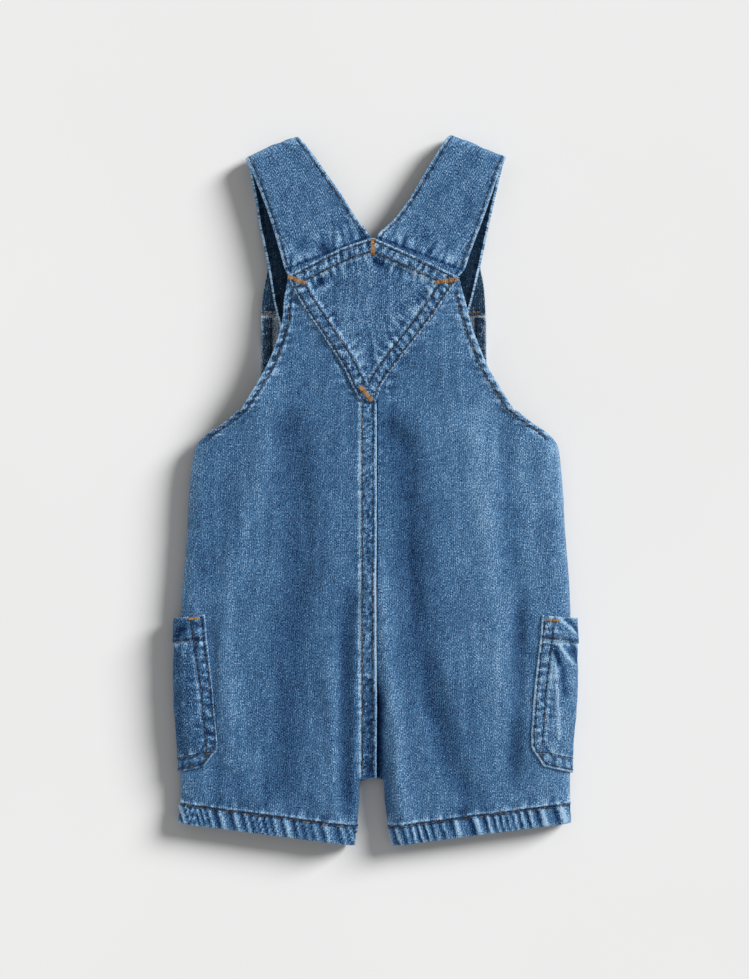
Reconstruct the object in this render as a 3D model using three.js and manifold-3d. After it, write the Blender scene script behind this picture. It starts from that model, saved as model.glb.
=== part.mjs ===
// A baby's denim shortalls, laid face down on a flat surface, so that the back shows.
// Millimetres, +Z up, +Y towards the shoulders, +X to the right as seen from above.
// The origin is the middle of the patch of floor that the garment covers.
import * as THREE from "three";
import { mergeVertices } from "three/addons/utils/BufferGeometryUtils.js";
import Module from "manifold-3d";

const wasm = await Module();
wasm.setup();

// Driving sizes of the cloth
const DENIM = 1.2; // one layer of the body cloth
const HALF = DENIM / 2;
const GAP = 0.3; // between pieces at a seam
const SEAM_GAP = 0.3; // each side of a side seam or an inseam
const TURNED = 0.8; // what a turned hem or a felled seam adds
const STRAP = 2.0; // a strap is two layers
const YOKE = 1.5; // the yoke with its turned edges
const FACING = 1.0; // the turned-in top of the bib
const POCKET = 1.2;

// Driving sizes of the lay
const SIDE_ROUND = 11; // how far in from a side the cloth turns over
const FRONT_ROUND = 7; // the front turns up more tightly
const INSEAM_ROUND = 9;
const CROWN = 2.2; // the back stands this much higher in the middle
const HALF_WIDTH = 125;
const LAP = 9.9; // width of the felled seam down the back
const SEAM_X = 1.3; // the felled seam's free edge
const ARMHOLE_HEM = 5.4;
const LEG_HEM = 12.8;
const BIB_HEM = 7;
const HEM_STEP = 0.8; // the width in which a turned edge drops to one layer
const STRAP_BOW = { strap_left: 1.6, strap_right: 0.3 }; // the fold over each shoulder bows this far
const YOKE_SETTLED = 0.8; // the yoke's middle has settled to here over the panels' level
const YOKE_BAND_SHARES = { near: [0.2, 0.092], far: [0.15, 0.098] }; // its bands, as shares of the kite's sides
const POCKET_GAP = 0.4;
const POCKET_REACH = 45; // the pockets lie within this distance of the side
const POCKET_UNDER = 9; // and stand off only down to here round the underside
const POCKET_LIFT = 1.6; // the front lies on its pockets
const BUTTON_LIFT = 3.0; // and the bib on its buttons
const CROTCH = { y: -184, left: -9.1, right: 5.8 };

// The button: a cap under the bib, a shank through it and a tack on the strap
const BUTTON = {
  capR: 8,
  cap: 2.6,
  shankR: 2.2,
  holeR: 2.6,
  tackR: 4.5,
  tackFrom: 8.1,
  tackTo: 9.2,
  segments: 20,
};
const BUTTON_PLACES = [
  { name: "button_left", x: -49, y: 133, slitTo: 1 },
  { name: "button_right", x: 48, y: 133, slitTo: -1 },
];
const BUTTONHOLE = { length: 14, width: 1.2 };

// Heights of the back cloth and of the side seam, from the shoulders to the hem
const HEIGHTS = [
  { y: 230, back: 13.5, seam: 6.3 },
  { y: 130, back: 15.0, seam: 6.3 },
  { y: 30, back: 15.0, seam: 6.3 },
  { y: -60, back: 15.0, seam: 6.3 },
  { y: -140, back: 14.0, seam: 6.2 },
  { y: -184, back: 12.8, seam: 5.8 },
  { y: -230, back: 10.4, seam: 5.2 },
];

// Where each section of the back starts and ends, at the armhole or side and at the yoke, back seam or inseam
const BACK = [
  { outY: 136.2, outL: -55.5, outR: 54.0, inY: 134.8, inL: -47.5, inR: 45.8 },
  { outY: 127.6, outL: -57.0, outR: 56.3, inY: 128.6, inL: -43.6, inR: 41.0 },
  { outY: 122.6, outL: -57.9, outR: 57.7, inY: 124.0, inL: -41.0, inR: 38.0 },
  { outY: 112.0, outL: -58.6, outR: 60.4, inY: 113.0, inL: -34.5, inR: 30.6 },
  { outY: 102.0, outL: -60.9, outR: 63.4, inY: 101.5, inL: -27.5, inR: 22.6 },
  { outY: 91.5, outL: -64.2, outR: 67.4, inY: 90.0, inL: -20.6, inR: 13.6 },
  { outY: 79.7, outL: -69.3, outR: 72.4, inY: 77.5, inL: -14.5, inR: 4.4 },
  { outY: 66.6, outL: -76.6, outR: 80.2, inY: 66.0, inL: -8.6, inR: -0.6 },
  { outY: 53.6, outL: -84.9, outR: 88.4, inY: 57.0, inL: 1.3, inR: 1.8 },
  { outY: 52.2, outL: -85.9, outR: 89.4, inY: 55.6, inL: 1.3, inR: 1.8 },
  { outY: 43.2, outL: -96.0, outR: 100.5, inY: 46.0, inL: 1.3, inR: 1.8 },
  { outY: 36.6, outL: -106.1, outR: 110.1, inY: 36.0, inL: 1.3, inR: 1.8 },
  { outY: 29.1, outL: -113.5, outR: 116.6, inY: 27.0, inL: 1.3, inR: 1.8 },
  { outY: 13.8, outL: -116.9, outR: 119.1, inY: 13.0, inL: 1.3, inR: 1.8 },
  { outY: -2.9, outL: -118.5, outR: 120.4, inY: -3.0, inL: 1.3, inR: 1.8 },
  { outY: -25.3, outL: -119.6, outR: 121.6, inY: -25.0, inL: 1.3, inR: 1.8 },
  { outY: -47.0, outL: -121.3, outR: 123.4, inY: -47.0, inL: 1.3, inR: 1.8 },
  { outY: -63.0, outL: -122.7, outR: 124.5, inY: -63.0, inL: 1.3, inR: 1.8 },
  { outY: -80.3, outL: -123.7, outR: 125.1, inY: -80.0, inL: 1.3, inR: 1.8 },
  { outY: -100.0, outL: -124.3, outR: 125.6, inY: -100.0, inL: 1.3, inR: 1.8 },
  { outY: -120.0, outL: -124.6, outR: 125.8, inY: -120.0, inL: 1.3, inR: 1.8 },
  { outY: -139.0, outL: -124.6, outR: 125.6, inY: -140.0, inL: 1.3, inR: 1.8 },
  { outY: -156.0, outL: -124.5, outR: 125.3, inY: -158.0, inL: 1.3, inR: 1.8 },
  { outY: -168.0, outL: -124.4, outR: 125.1, inY: -171.0, inL: 1.3, inR: 1.8 },
  { outY: -174.0, outL: -124.3, outR: 125.0, inY: -178.5, inL: 1.3, inR: 1.8 },
  { outY: -177.0, outL: -124.2, outR: 124.9, inY: -182.0, inL: 1.3, inR: 1.8 },
  { outY: -178.0, outL: -124.2, outR: 124.9, inY: -183.2, inL: 1.3, inR: 1.8 },
  { outY: -178.8, outL: -124.2, outR: 124.9, inY: -184.6, inL: -9.7, inR: 6.4 },
  { outY: -187.0, outL: -124.0, outR: 124.8, inY: -196.0, inL: -10.5, inR: 6.9 },
  { outY: -193.6, outL: -123.8, outR: 124.8, inY: -205.0, inL: -11.1, inR: 8.0 },
  { outY: -199.1, outL: -123.8, outR: 124.8, inY: -213.0, inL: -11.6, inR: 9.5 },
  { outY: -199.9, outL: -123.8, outR: 124.8, inY: -213.8, inL: -11.8, inR: 9.8 },
  { outY: -212.3, outL: -124.6, outR: 124.8, inY: -226.6, inL: -14.4, inR: 13.2 },
];
const YOKE_CORNER = 1; // the last section whose armhole end the yoke covers
const YOKE_TIP = 8; // the last section whose seam end it covers
const SIDE_FROM = 12; // the section where the armhole meets the side seam
const CROTCH_FROM = 26; // the last section above the crotch
const HEM_FROM = 30; // the last section above the leg hem

// The upper front: the bib and the front armholes, down to the same side seam
const BIB = [
  { outY: 150.7, outL: -67.8, outR: 66.9 },
  { outY: 142.0, outL: -69.1, outR: 68.3 },
  { outY: 131.7, outL: -71.0, outR: 70.3 },
  { outY: 122.6, outL: -72.4, outR: 71.0 },
  { outY: 113.2, outL: -73.0, outR: 71.5 },
  { outY: 100.0, outL: -73.1, outR: 71.8 },
  { outY: 86.0, outL: -73.1, outR: 72.0 },
  { outY: 73.0, outL: -73.5, outR: 72.5 },
  { outY: 61.0, outL: -75.2, outR: 74.3 },
  { outY: 50.0, outL: -79.0, outR: 78.5 },
  { outY: 41.5, outL: -85.5, outR: 86.0 },
  { outY: 35.5, outL: -94.0, outR: 96.0 },
  { outY: 31.6, outL: -104.0, outR: 107.0 },
].map((s) => ({ ...s, inY: s.outY, inL: -0.15, inR: 0.15 }));
const FRONT = [
  ...BIB,
  ...BACK.slice(SIDE_FROM).map((s, i) => (i + SIDE_FROM > CROTCH_FROM ? s : { ...s, inL: -0.15, inR: 0.15 })),
];
const FRONT_SHIFT = BIB.length - SIDE_FROM; // from a back section's number to the front's
const FACING_Y = 113.6; // the bib's top is turned in down to here

// Long soft folds of the back, each a ridge or a trough that wanders down the cloth
const FOLDS = [
  { name: "left ridge", height: 2.2, width: 9, y: [70, 20, -40, -105, -175], x: [-70, -71, -87, -95, -92] },
  { name: "left trough", height: -2.4, width: 13, y: [50, 0, -50, -110, -195], x: [-60, -49, -48, -58, -67] },
  { name: "left edge", height: -1.0, width: 8, y: [30, -10, -60], x: [-86, -93, -104] },
  { name: "left leg ridge", height: 1.7, width: 4.5, y: [-85, -150, -222], x: [-14, -14, -17] },
  { name: "left leg trough", height: -2.1, width: 7, y: [-80, -140, -215], x: [-22, -23, -26] },
  { name: "right leg ridge", height: 1.8, width: 6, y: [-55, -130, -222], x: [8, 11, 16] },
  { name: "right trough", height: -2.8, width: 10, y: [45, 0, -70, -130, -205], x: [12, 23, 26, 36, 57] },
  { name: "right ridge", height: 1.7, width: 11, y: [45, -5, -60, -145], x: [65, 71, 75, 81] },
  { name: "right edge", height: -1.8, width: 9, y: [55, 0, -70], x: [78, 86, 94] },
];
const FOLD_FADE = 26; // a fold dies out over this length at each end

// How far the valley over the crotch has sunk, as a share of the way down to the inseam
const VALLEY = [
  { y: -80, depth: 0, rightX: 1.8 },
  { y: -115, depth: 0.14, rightX: 2.0 },
  { y: -145, depth: 0.42, rightX: 2.8 },
  { y: -168, depth: 0.72, rightX: 4.6 },
  { y: CROTCH.y, depth: 1, rightX: CROTCH.right },
];

// The straps from under the yoke, up the back, over the fold and down to the button
const STRAPS = {
  strap_left: [
    { run: "back", outX: -54.9, outY: 137.8, inX: -2.9, inY: 156.4, z: 15.6 },
    { run: "back", outX: -57.2, outY: 141.8, inX: -3.0, inY: 163.0, z: 15.6 },
    { run: "back", outX: -60.8, outY: 154.2, inX: -12.3, inY: 175.8, z: 15.0 },
    { run: "back", outX: -66.5, outY: 173.1, inX: -21.1, inY: 189.8, z: 14.2 },
    { run: "back", outX: -72.6, outY: 190.0, inX: -30.2, inY: 202.8, z: 13.2 },
    { run: "back", outX: -78.6, outY: 204.8, inX: -41.2, inY: 218.4, z: 12.2 },
    { run: "fold", outX: -81.3, outY: 210.8, inX: -46.4, inY: 224.6, z: 11.2 },
    { run: "fold", outX: -82.2, outY: 212.2, inX: -48.0, inY: 226.5, z: 8.6 },
    { run: "fold", outX: -82.4, outY: 212.6, inX: -48.4, inY: 226.9, z: 6.2 },
    { run: "fold", outX: -82.0, outY: 211.8, inX: -47.8, inY: 226.0, z: 3.6 },
    { run: "fold", outX: -81.2, outY: 209.0, inX: -46.8, inY: 223.6, z: 1.5 },
    { run: "front", outX: -79.6, outY: 202.0, inX: -45.4, inY: 215.0, z: 1.0 },
    { run: "front", outX: -76.6, outY: 187.0, inX: -42.6, inY: 197.0, z: 1.3 },
    { run: "front", outX: -73.9, outY: 170.0, inX: -39.6, inY: 178.0, z: 4.2 },
    { run: "front", outX: -70.8, outY: 155.5, inX: -36.6, inY: 162.0, z: 6.8 },
    { run: "front", outX: -67.8, outY: 140.0, inX: -33.4, inY: 146.0, z: 6.8 },
    { run: "front", outX: -64.2, outY: 119.4, inX: -29.8, inY: 126.0, z: 6.8 },
    { run: "front", outX: -60.9, outY: 106.0, inX: -27.0, inY: 113.0, z: 6.8 },
    { run: "front", outX: -57.2, outY: 91.5, inX: -23.4, inY: 98.5, z: 6.8 },
  ],
  strap_right: [
    { run: "back", outX: 53.3, outY: 137.0, inX: 0.9, inY: 156.4, z: 15.6 },
    { run: "back", outX: 57.0, outY: 141.0, inX: 1.4, inY: 162.8, z: 15.6 },
    { run: "back", outX: 61.8, outY: 154.0, inX: 12.0, inY: 173.8, z: 15.0 },
    { run: "back", outX: 68.2, outY: 171.0, inX: 21.4, inY: 186.0, z: 14.2 },
    { run: "back", outX: 74.8, outY: 189.5, inX: 31.5, inY: 203.0, z: 13.2 },
    { run: "back", outX: 80.6, outY: 206.0, inX: 41.0, inY: 218.6, z: 12.2 },
    { run: "fold", outX: 83.2, outY: 211.8, inX: 46.0, inY: 226.2, z: 11.2 },
    { run: "fold", outX: 84.0, outY: 213.2, inX: 47.6, inY: 227.8, z: 8.6 },
    { run: "fold", outX: 84.2, outY: 213.5, inX: 48.0, inY: 228.2, z: 6.2 },
    { run: "fold", outX: 83.6, outY: 212.8, inX: 47.6, inY: 227.3, z: 3.6 },
    { run: "fold", outX: 82.6, outY: 210.0, inX: 46.8, inY: 224.0, z: 1.5 },
    { run: "front", outX: 80.7, outY: 202.3, inX: 45.6, inY: 214.6, z: 1.0 },
    { run: "front", outX: 77.2, outY: 187.0, inX: 42.8, inY: 197.0, z: 1.3 },
    { run: "front", outX: 73.5, outY: 171.0, inX: 39.4, inY: 179.0, z: 4.2 },
    { run: "front", outX: 70.2, outY: 155.5, inX: 35.9, inY: 162.4, z: 6.8 },
    { run: "front", outX: 66.8, outY: 140.0, inX: 32.6, inY: 147.0, z: 6.8 },
    { run: "front", outX: 62.2, outY: 121.0, inX: 28.2, inY: 128.4, z: 6.8 },
    { run: "front", outX: 57.6, outY: 106.5, inX: 24.0, inY: 115.0, z: 6.8 },
    { run: "front", outX: 52.6, outY: 92.0, inX: 19.4, inY: 101.0, z: 6.8 },
  ],
};

// The yoke's four edges; the lower left one ends in the short edge that closes the kite over the back seam
const YOKE_EDGES = {
  upperLeft: [[-55.6, 137.6], [-42.6, 144.6], [-30.0, 151.0], [-16.0, 157.2], [-0.9, 161.9]],
  upperRight: [[-0.9, 161.9], [14.0, 155.4], [28.4, 149.0], [42.3, 142.6], [54.4, 136.4]],
  lowerLeft: [[-55.6, 137.6], [-49.0, 124.0], [-34.7, 101.8], [-20.4, 79.9], [-12.7, 64.3], [-8.9, 58.6], [1.0, 57.3]],
  lowerRight: [[54.4, 136.4], [46.9, 126.0], [35.5, 109.4], [20.7, 89.9], [13.0, 80.0], [4.4, 66.8], [1.0, 57.3]],
};
const YOKE_BAND = 8.8; // the double-stitched edge of the yoke

// The pockets wrap the sides: how far round each goes on the back and on the front, and how far it stands off
const POCKET_SECTIONS = [
  { y: -78.7, sideY: -81.3, backL: 19.1, backR: 22.4, front: 33, proud: 2.1 },
  { y: -94.0, sideY: -95.5, backL: 20.8, backR: 24.0, front: 33, proud: 2.5 },
  { y: -95.0, sideY: -96.5, backL: 20.9, backR: 24.2, front: 33, proud: 2.5 },
  { y: -110.0, sideY: -111.5, backL: 23.2, backR: 25.9, front: 32, proud: 2.6 },
  { y: -126.5, sideY: -128.0, backL: 25.3, backR: 27.6, front: 31, proud: 2.3 },
  { y: -143.0, sideY: -144.5, backL: 26.8, backR: 28.5, front: 30, proud: 1.6 },
  { y: -155.0, sideY: -157.5, backL: 27.8, backR: 28.9, front: 29, proud: 0.7 },
  { y: -163.0, sideY: -167.0, backL: 28.2, backR: 28.5, front: 28, proud: 0.1 },
  { y: -169.5, sideY: -174.0, backL: 23.6, backR: 24.5, front: 24, proud: 0 },
  { y: -175.8, sideY: -180.6, backL: 18.9, backR: 20.2, front: 20, proud: 0 },
];
const POCKET_HEM_ROWS = 2; // the turned-in mouth takes up the first rows

const clamp = (x, low = 0, high = 1) => Math.min(high, Math.max(low, x));
const lerp = (a, b, t) => a + (b - a) * t;
const blend = (a, b, t) => a.map((value, i) => lerp(value, b[i], t));
const ease = (from, to, x) => {
  const t = clamp((x - from) / (to - from));
  return t * t * (3 - 2 * t);
};

// A column of a table between its rows, with no overshoot
function between(table, key, at) {
  const last = table.length - 1;
  const i = clamp(Math.floor(at), 0, last - 1);
  const t = clamp(at - i);
  const step = (k) => table[k + 1][key] - table[k][key];
  const slope = (k) => {
    if (k === 0) return step(0);
    if (k === last) return step(last - 1);
    const before = step(k - 1);
    const after = step(k);
    return before * after <= 0 ? 0 : (2 * before * after) / (before + after);
  };
  const rise = t * t * (3 - 2 * t);
  const leaving = slope(i) * t * (1 - t) ** 2;
  const arriving = slope(i + 1) * t * t * (1 - t);
  return lerp(table[i][key], table[i + 1][key], rise) + leaving - arriving;
}

// A column of a table whose rows run from a high y to a low one
function byHeight(table, key, y) {
  let i = 0;
  while (i < table.length - 2 && y < table[i + 1].y) i += 1;
  return lerp(table[i][key], table[i + 1][key], ease(table[i].y, table[i + 1].y, y));
}

// The soft folds at a place on the back
function foldHeight(x, y) {
  let height = 0;
  for (const fold of FOLDS) {
    const path = fold.y.map((rowY, i) => ({ y: rowY, x: fold.x[i] }));
    const top = fold.y[0];
    const bottom = fold.y[fold.y.length - 1];
    const half = FOLD_FADE / 2;
    const fade = ease(top + half, top - half, y) * ease(bottom - half, bottom + half, y);
    const beside = (x - byHeight(path, "x", y)) / fold.width;
    height += fold.height * fade * Math.exp(-beside * beside);
  }
  return height;
}

// The height of the back cloth away from its edges
const crown = (x) => CROWN * (1 - (x / HALF_WIDTH) ** 2);
const backHeight = (x, y) => byHeight(HEIGHTS, "back", y) + crown(x) + foldHeight(x, y);

// How far a cloth that turns over at an edge has dropped, from 1 at the edge to 0
const drop = (distance, reach) => 1 - Math.sqrt(1 - clamp(1 - distance / reach) ** 2);

// The front cloth lies on the floor, on its pockets and on its buttons
function frontLift(x, y) {
  const overPocket = ease(78, 90, Math.abs(x)) * ease(-66, -75, y) * ease(-192, -184, y);
  const overButton = ease(88, 110, y);
  return Math.max(POCKET_LIFT * overPocket, BUTTON_LIFT * overButton);
}

// The height of the back cloth's middle, given how far it is in from the side
function backLevel(side, section, x, y, fromOut) {
  const seam = byHeight(HEIGHTS, "seam", y) + SEAM_GAP;
  const turned = ease(SIDE_FROM - 4, SIDE_FROM, section);
  let z = backHeight(x, y);
  z -= (z - seam) * turned * drop(fromOut, SIDE_ROUND);
  const above = section <= CROTCH_FROM;
  const valleyX = side < 0 ? CROTCH.left : byHeight(VALLEY, "rightX", y);
  const edgeX = above ? valleyX : BACK[section][side < 0 ? "inL" : "inR"];
  const fromIn = Math.max(0, (x - edgeX) * side);
  const lowest = above ? seam + HALF + GAP : seam;
  const depth = above ? byHeight(VALLEY, "depth", y) : 1;
  return z - depth * (z - lowest) * drop(fromIn, INSEAM_ROUND);
}

// The height of the front cloth's middle, with its distances to the side and to the crotch or inseam
function frontLevel(section, x, y, fromOut, fromIn) {
  const seam = byHeight(HEIGHTS, "seam", y) - SEAM_GAP;
  const turned = ease(BIB.length - 3, BIB.length, section);
  let z = HALF + frontLift(x, y);
  z += (seam - z) * turned * drop(fromOut, FRONT_ROUND);
  return z + (seam - z) * drop(fromIn, INSEAM_ROUND);
}

// A closed wall on a grid of middle points; outer and inner are distances along its normal,
// and facing is the way that the outer skin faces in the middle of the grid
function wall(grid, facing, outer, inner) {
  const rows = grid.length;
  const cols = grid[0].length;
  const at = (i, j) => grid[clamp(i, 0, rows - 1)][clamp(j, 0, cols - 1)];
  const normalAt = (i, j) => {
    const down = at(i + 1, j).clone().sub(at(i - 1, j));
    const along = at(i, j + 1).clone().sub(at(i, j - 1));
    return along.cross(down).normalize();
  };
  const sign = Math.sign(normalAt(Math.floor(rows / 2), Math.floor(cols / 2)).dot(facing));
  const positions = [];
  for (const offset of [outer, inner]) {
    for (let i = 0; i < rows; i += 1) {
      for (let j = 0; j < cols; j += 1) {
        const p = at(i, j).clone();
        p.addScaledVector(normalAt(i, j), sign * offset(i, j, at(i, j)));
        positions.push(p.x, p.y, p.z);
      }
    }
  }
  const skin = rows * cols;
  const faces = [];
  const quad = (a, b, c, d) => faces.push(a, b, c, a, c, d);
  for (let i = 0; i < rows - 1; i += 1) {
    for (let j = 0; j < cols - 1; j += 1) {
      const a = i * cols + j;
      quad(a, a + 1, a + cols + 1, a + cols);
      quad(skin + a, skin + a + cols, skin + a + cols + 1, skin + a + 1);
    }
  }
  const rim = [];
  for (let j = 0; j < cols - 1; j += 1) rim.push(j);
  for (let i = 0; i < rows - 1; i += 1) rim.push(i * cols + cols - 1);
  for (let j = cols - 1; j > 0; j -= 1) rim.push((rows - 1) * cols + j);
  for (let i = rows - 1; i > 0; i -= 1) rim.push(i * cols);
  rim.forEach((a, k) => {
    const b = rim[(k + 1) % rim.length];
    quad(b, a, skin + a, skin + b);
  });
  const geometry = new THREE.BufferGeometry();
  geometry.setAttribute("position", new THREE.Float32BufferAttribute(positions, 3));
  geometry.setIndex(faces);
  return facingOut(geometry);
}

// Turns a closed mesh's faces outwards
function facingOut(geometry) {
  const p = geometry.attributes.position;
  const index = geometry.index.array;
  const corner = (k) => new THREE.Vector3().fromBufferAttribute(p, index[k]);
  let volume = 0;
  for (let k = 0; k < index.length; k += 3) {
    volume += corner(k).dot(corner(k + 1).cross(corner(k + 2)));
  }
  if (volume < 0) {
    for (let k = 0; k < index.length; k += 3) {
      [index[k + 1], index[k + 2]] = [index[k + 2], index[k + 1]];
    }
  }
  return geometry;
}

// One section of a panel from its inner end to its outer end.
// The stops near each end keep their distances where there is room for them.
function across(s, side, inner, outer, middles) {
  const key = side < 0 ? "L" : "R";
  const from = new THREE.Vector2(s[`in${key}`], s.inY);
  const to = new THREE.Vector2(s[`out${key}`], s.outY);
  const length = from.distanceTo(to);
  const room = outer.map((d, k) => Math.min(d, length * (0.5 + 0.06 * k)));
  const end = length - room[room.length - 1];
  const fit = Math.min(1, (end - 0.3) / inner[inner.length - 1]);
  const distances = inner.map((d) => d * fit);
  const start = distances[distances.length - 1];
  for (let k = 1; k <= middles; k += 1) {
    distances.push(lerp(start, end, k / (middles + 1)));
  }
  for (const d of room.toReversed()) distances.push(length - d);
  return distances.map((d) => {
    const p = from.clone().lerp(to, d / length);
    return { x: p.x, y: p.y, fromIn: d, fromOut: length - d };
  });
}

// Stops near an edge, in from it
const TURN = [0, 15, 33, 53, 72, 90].map((a) => SIDE_ROUND * (1 - Math.cos(THREE.MathUtils.degToRad(a))));
const HEMMED = [0, 2.6, ARMHOLE_HEM, ARMHOLE_HEM + HEM_STEP, 8.4, 11.5];
const LAPPED = [0, 5, LAP, LAP + HEM_STEP, 12.4, 15.4, 19.4];
const PLAIN = [0, 1.5, 3.0, 4.6, 6.8, 10.2, 14.8];
const INSEAM_TURN = [0, 0.5, 1.8, 3.6, 6.0, 9.0, 13.0];
const BIB_HEMMED = [0, 3.4, BIB_HEM, BIB_HEM + HEM_STEP, 10.5, 14, 18];
const FRONT_TURN = [0, 0.4, 1.7, 4.0, 7.0, 34, 46];
const FRONT_SEAM = [0, 5, 9, 13, 18];
const FRONT_INSEAM = [0, 1.0, 3.4, 7.4, 12];
const ON_STOP = 0.1; // a stop counts as inside a turned edge up to this far past it

function backPanel(side) {
  const cells = BACK.map((s, section) => {
    const legs = section > CROTCH_FROM ? 1 : 0;
    const inner = blend(side < 0 ? LAPPED : PLAIN, INSEAM_TURN, legs);
    const outer = blend(HEMMED, TURN, ease(SIDE_FROM - 3, SIDE_FROM, section));
    return across(s, side, inner, outer, 9);
  });
  const grid = cells.map((row, section) =>
    row.map((c) => new THREE.Vector3(c.x, c.y, backLevel(side, section, c.x, c.y, c.fromOut))),
  );
  const outer = (section, j) => {
    const { fromIn, fromOut } = cells[section][j];
    const seamRows = section > YOKE_TIP && section <= CROTCH_FROM;
    const onLap = side < 0 && seamRows && fromIn < LAP + ON_STOP;
    const onArmhole = section > YOKE_CORNER && section < SIDE_FROM && fromOut < ARMHOLE_HEM + ON_STOP;
    return HALF + (onLap || onArmhole || section > HEM_FROM ? TURNED : 0);
  };
  return wall(grid, new THREE.Vector3(0, 0, 1), outer, () => -HALF);
}

function frontPanel(side) {
  const crotch = CROTCH_FROM + FRONT_SHIFT;
  const inEdge = side < 0 ? CROTCH.left : CROTCH.right;
  const cells = FRONT.map((s, section) => {
    const inner = section > crotch ? FRONT_INSEAM : FRONT_SEAM;
    const outer = blend(BIB_HEMMED, FRONT_TURN, ease(BIB.length - 2, BIB.length, section));
    return across(s, side, inner, outer, 2);
  });
  const grid = cells.map((row, section) =>
    row.map((c) => {
      const beside = Math.max(0, (c.x - inEdge) * side);
      const fromCrotch = Math.hypot(beside, c.y - FRONT[crotch].inY);
      const fromIn = section > crotch ? c.fromIn : fromCrotch;
      return new THREE.Vector3(c.x, c.y, frontLevel(section, c.x, c.y, c.fromOut, fromIn));
    }),
  );
  const inner = (section, j, p) => {
    const bibRows = section < BIB.length && p.y < FACING_Y - 1;
    const onBibHem = bibRows && cells[section][j].fromOut < BIB_HEM + ON_STOP;
    return -HALF - (onBibHem || section > HEM_FROM + FRONT_SHIFT ? TURNED : 0);
  };
  return wall(grid, new THREE.Vector3(0, 0, -1), () => HALF, inner);
}

// The bib's top edge, turned in and stitched: it lies on the inside of the bib
function bibFacing() {
  const grid = [0, 1, 2, 3, 3.95].map((section) => {
    const y = between(FRONT, "outY", section);
    const left = between(FRONT, "outL", section) + 0.4;
    const right = between(FRONT, "outR", section) - 0.4;
    const stops = [0, 0.05, 0.14, 0.24, 0.37, 0.5, 0.63, 0.76, 0.86, 0.95, 1];
    return stops.map((t) => new THREE.Vector3(lerp(left, right, t), y, HALF + frontLift(0, y)));
  });
  const under = HALF + GAP;
  return wall(grid, new THREE.Vector3(0, 0, 1), () => under + FACING, () => under);
}

// A strap, in sections from its end under the yoke to its end behind the bib
function strap(name) {
  const table = STRAPS[name];
  const sections = table.flatMap((s, i) => (i < table.length - 1 ? [i, i + 0.5] : [i]));
  const stops = [0, 0.1, 0.35, 0.65, 0.9, 1];
  const grid = sections.map((section) => {
    const place = ["outX", "outY", "inX", "inY", "z"].map((key) => between(table, key, section));
    const [outX, outY, inX, inY, z] = place;
    const underYoke = ease(1.6, 0.4, section);
    const bowed = STRAP_BOW[name] * ease(3, 7, section) * ease(11, 9, section);
    return stops.map((t) => {
      const x = lerp(outX, inX, t);
      const y = lerp(outY, inY, t) + bowed * Math.sin(Math.PI * t);
      const level = backHeight(x, y) - (STRAP - DENIM) / 2;
      return new THREE.Vector3(x, y, lerp(z, level, underYoke));
    });
  });
  return wall(grid, new THREE.Vector3(1, 1, 1), () => STRAP / 2, () => -STRAP / 2);
}

// An edge drawn through a few points, by the share of its length
function edgeCurve(points) {
  const curve = new THREE.CatmullRomCurve3(points.map(([x, y]) => new THREE.Vector3(x, y, 0)), false, "centripetal");
  return (t) => curve.getPointAt(clamp(t));
}

// The yoke: a kite between its four edges, raised over the ends of the panels and straps
function yoke() {
  const [topToLeft, topToRight] = [edgeCurve(YOKE_EDGES.upperLeft.toReversed()), edgeCurve(YOKE_EDGES.upperRight)];
  const [leftToTip, rightToTip] = [edgeCurve(YOKE_EDGES.lowerLeft), edgeCurve(YOKE_EDGES.lowerRight)];
  const place = (u, v) => {
    const alongU = topToRight(u).lerp(leftToTip(u), v);
    const alongV = topToLeft(v).lerp(rightToTip(v), u);
    const top = topToRight(0).lerp(topToRight(1), u);
    const foot = topToLeft(1).lerp(rightToTip(1), u);
    return alongU.add(alongV).sub(top.lerp(foot, v));
  };
  // Where the band ends near each side of the kite, at the side's two corners
  const near = (share) => YOKE_BAND_SHARES.near.map((s) => s * share);
  const far = (share) => YOKE_BAND_SHARES.far.map((s) => 1 - s * share);
  const step = 1 + HEM_STEP * 2 / YOKE_BAND;
  const middles = [0.34, 0.5, 0.66].map((m) => [m, m]);
  const stops = [near(0), near(0.5), near(1), near(step), ...middles, far(step), far(1), far(0.5), far(0)];
  const grid = stops.map((stopV) =>
    stops.map((stopU) => {
      let u = stopU[0];
      let v = stopV[0];
      for (let pass = 0; pass < 4; pass += 1) {
        [u, v] = [lerp(stopU[0], stopU[1], v), lerp(stopV[0], stopV[1], u)];
      }
      return place(u, v);
    }),
  );
  const last = stops.length - 1;
  const inside = (k) => k > 2 && k < last - 2;
  grid.forEach((row, i) =>
    row.forEach((p, j) => {
      p.z = backHeight(p.x, p.y) + (inside(i) && inside(j) ? YOKE_SETTLED : DENIM + GAP);
    }),
  );
  const outer = (i, j) => HALF + (inside(i) && inside(j) ? 0 : TURNED);
  return wall(grid, new THREE.Vector3(0, 0, 1), outer, () => -HALF);
}

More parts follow.
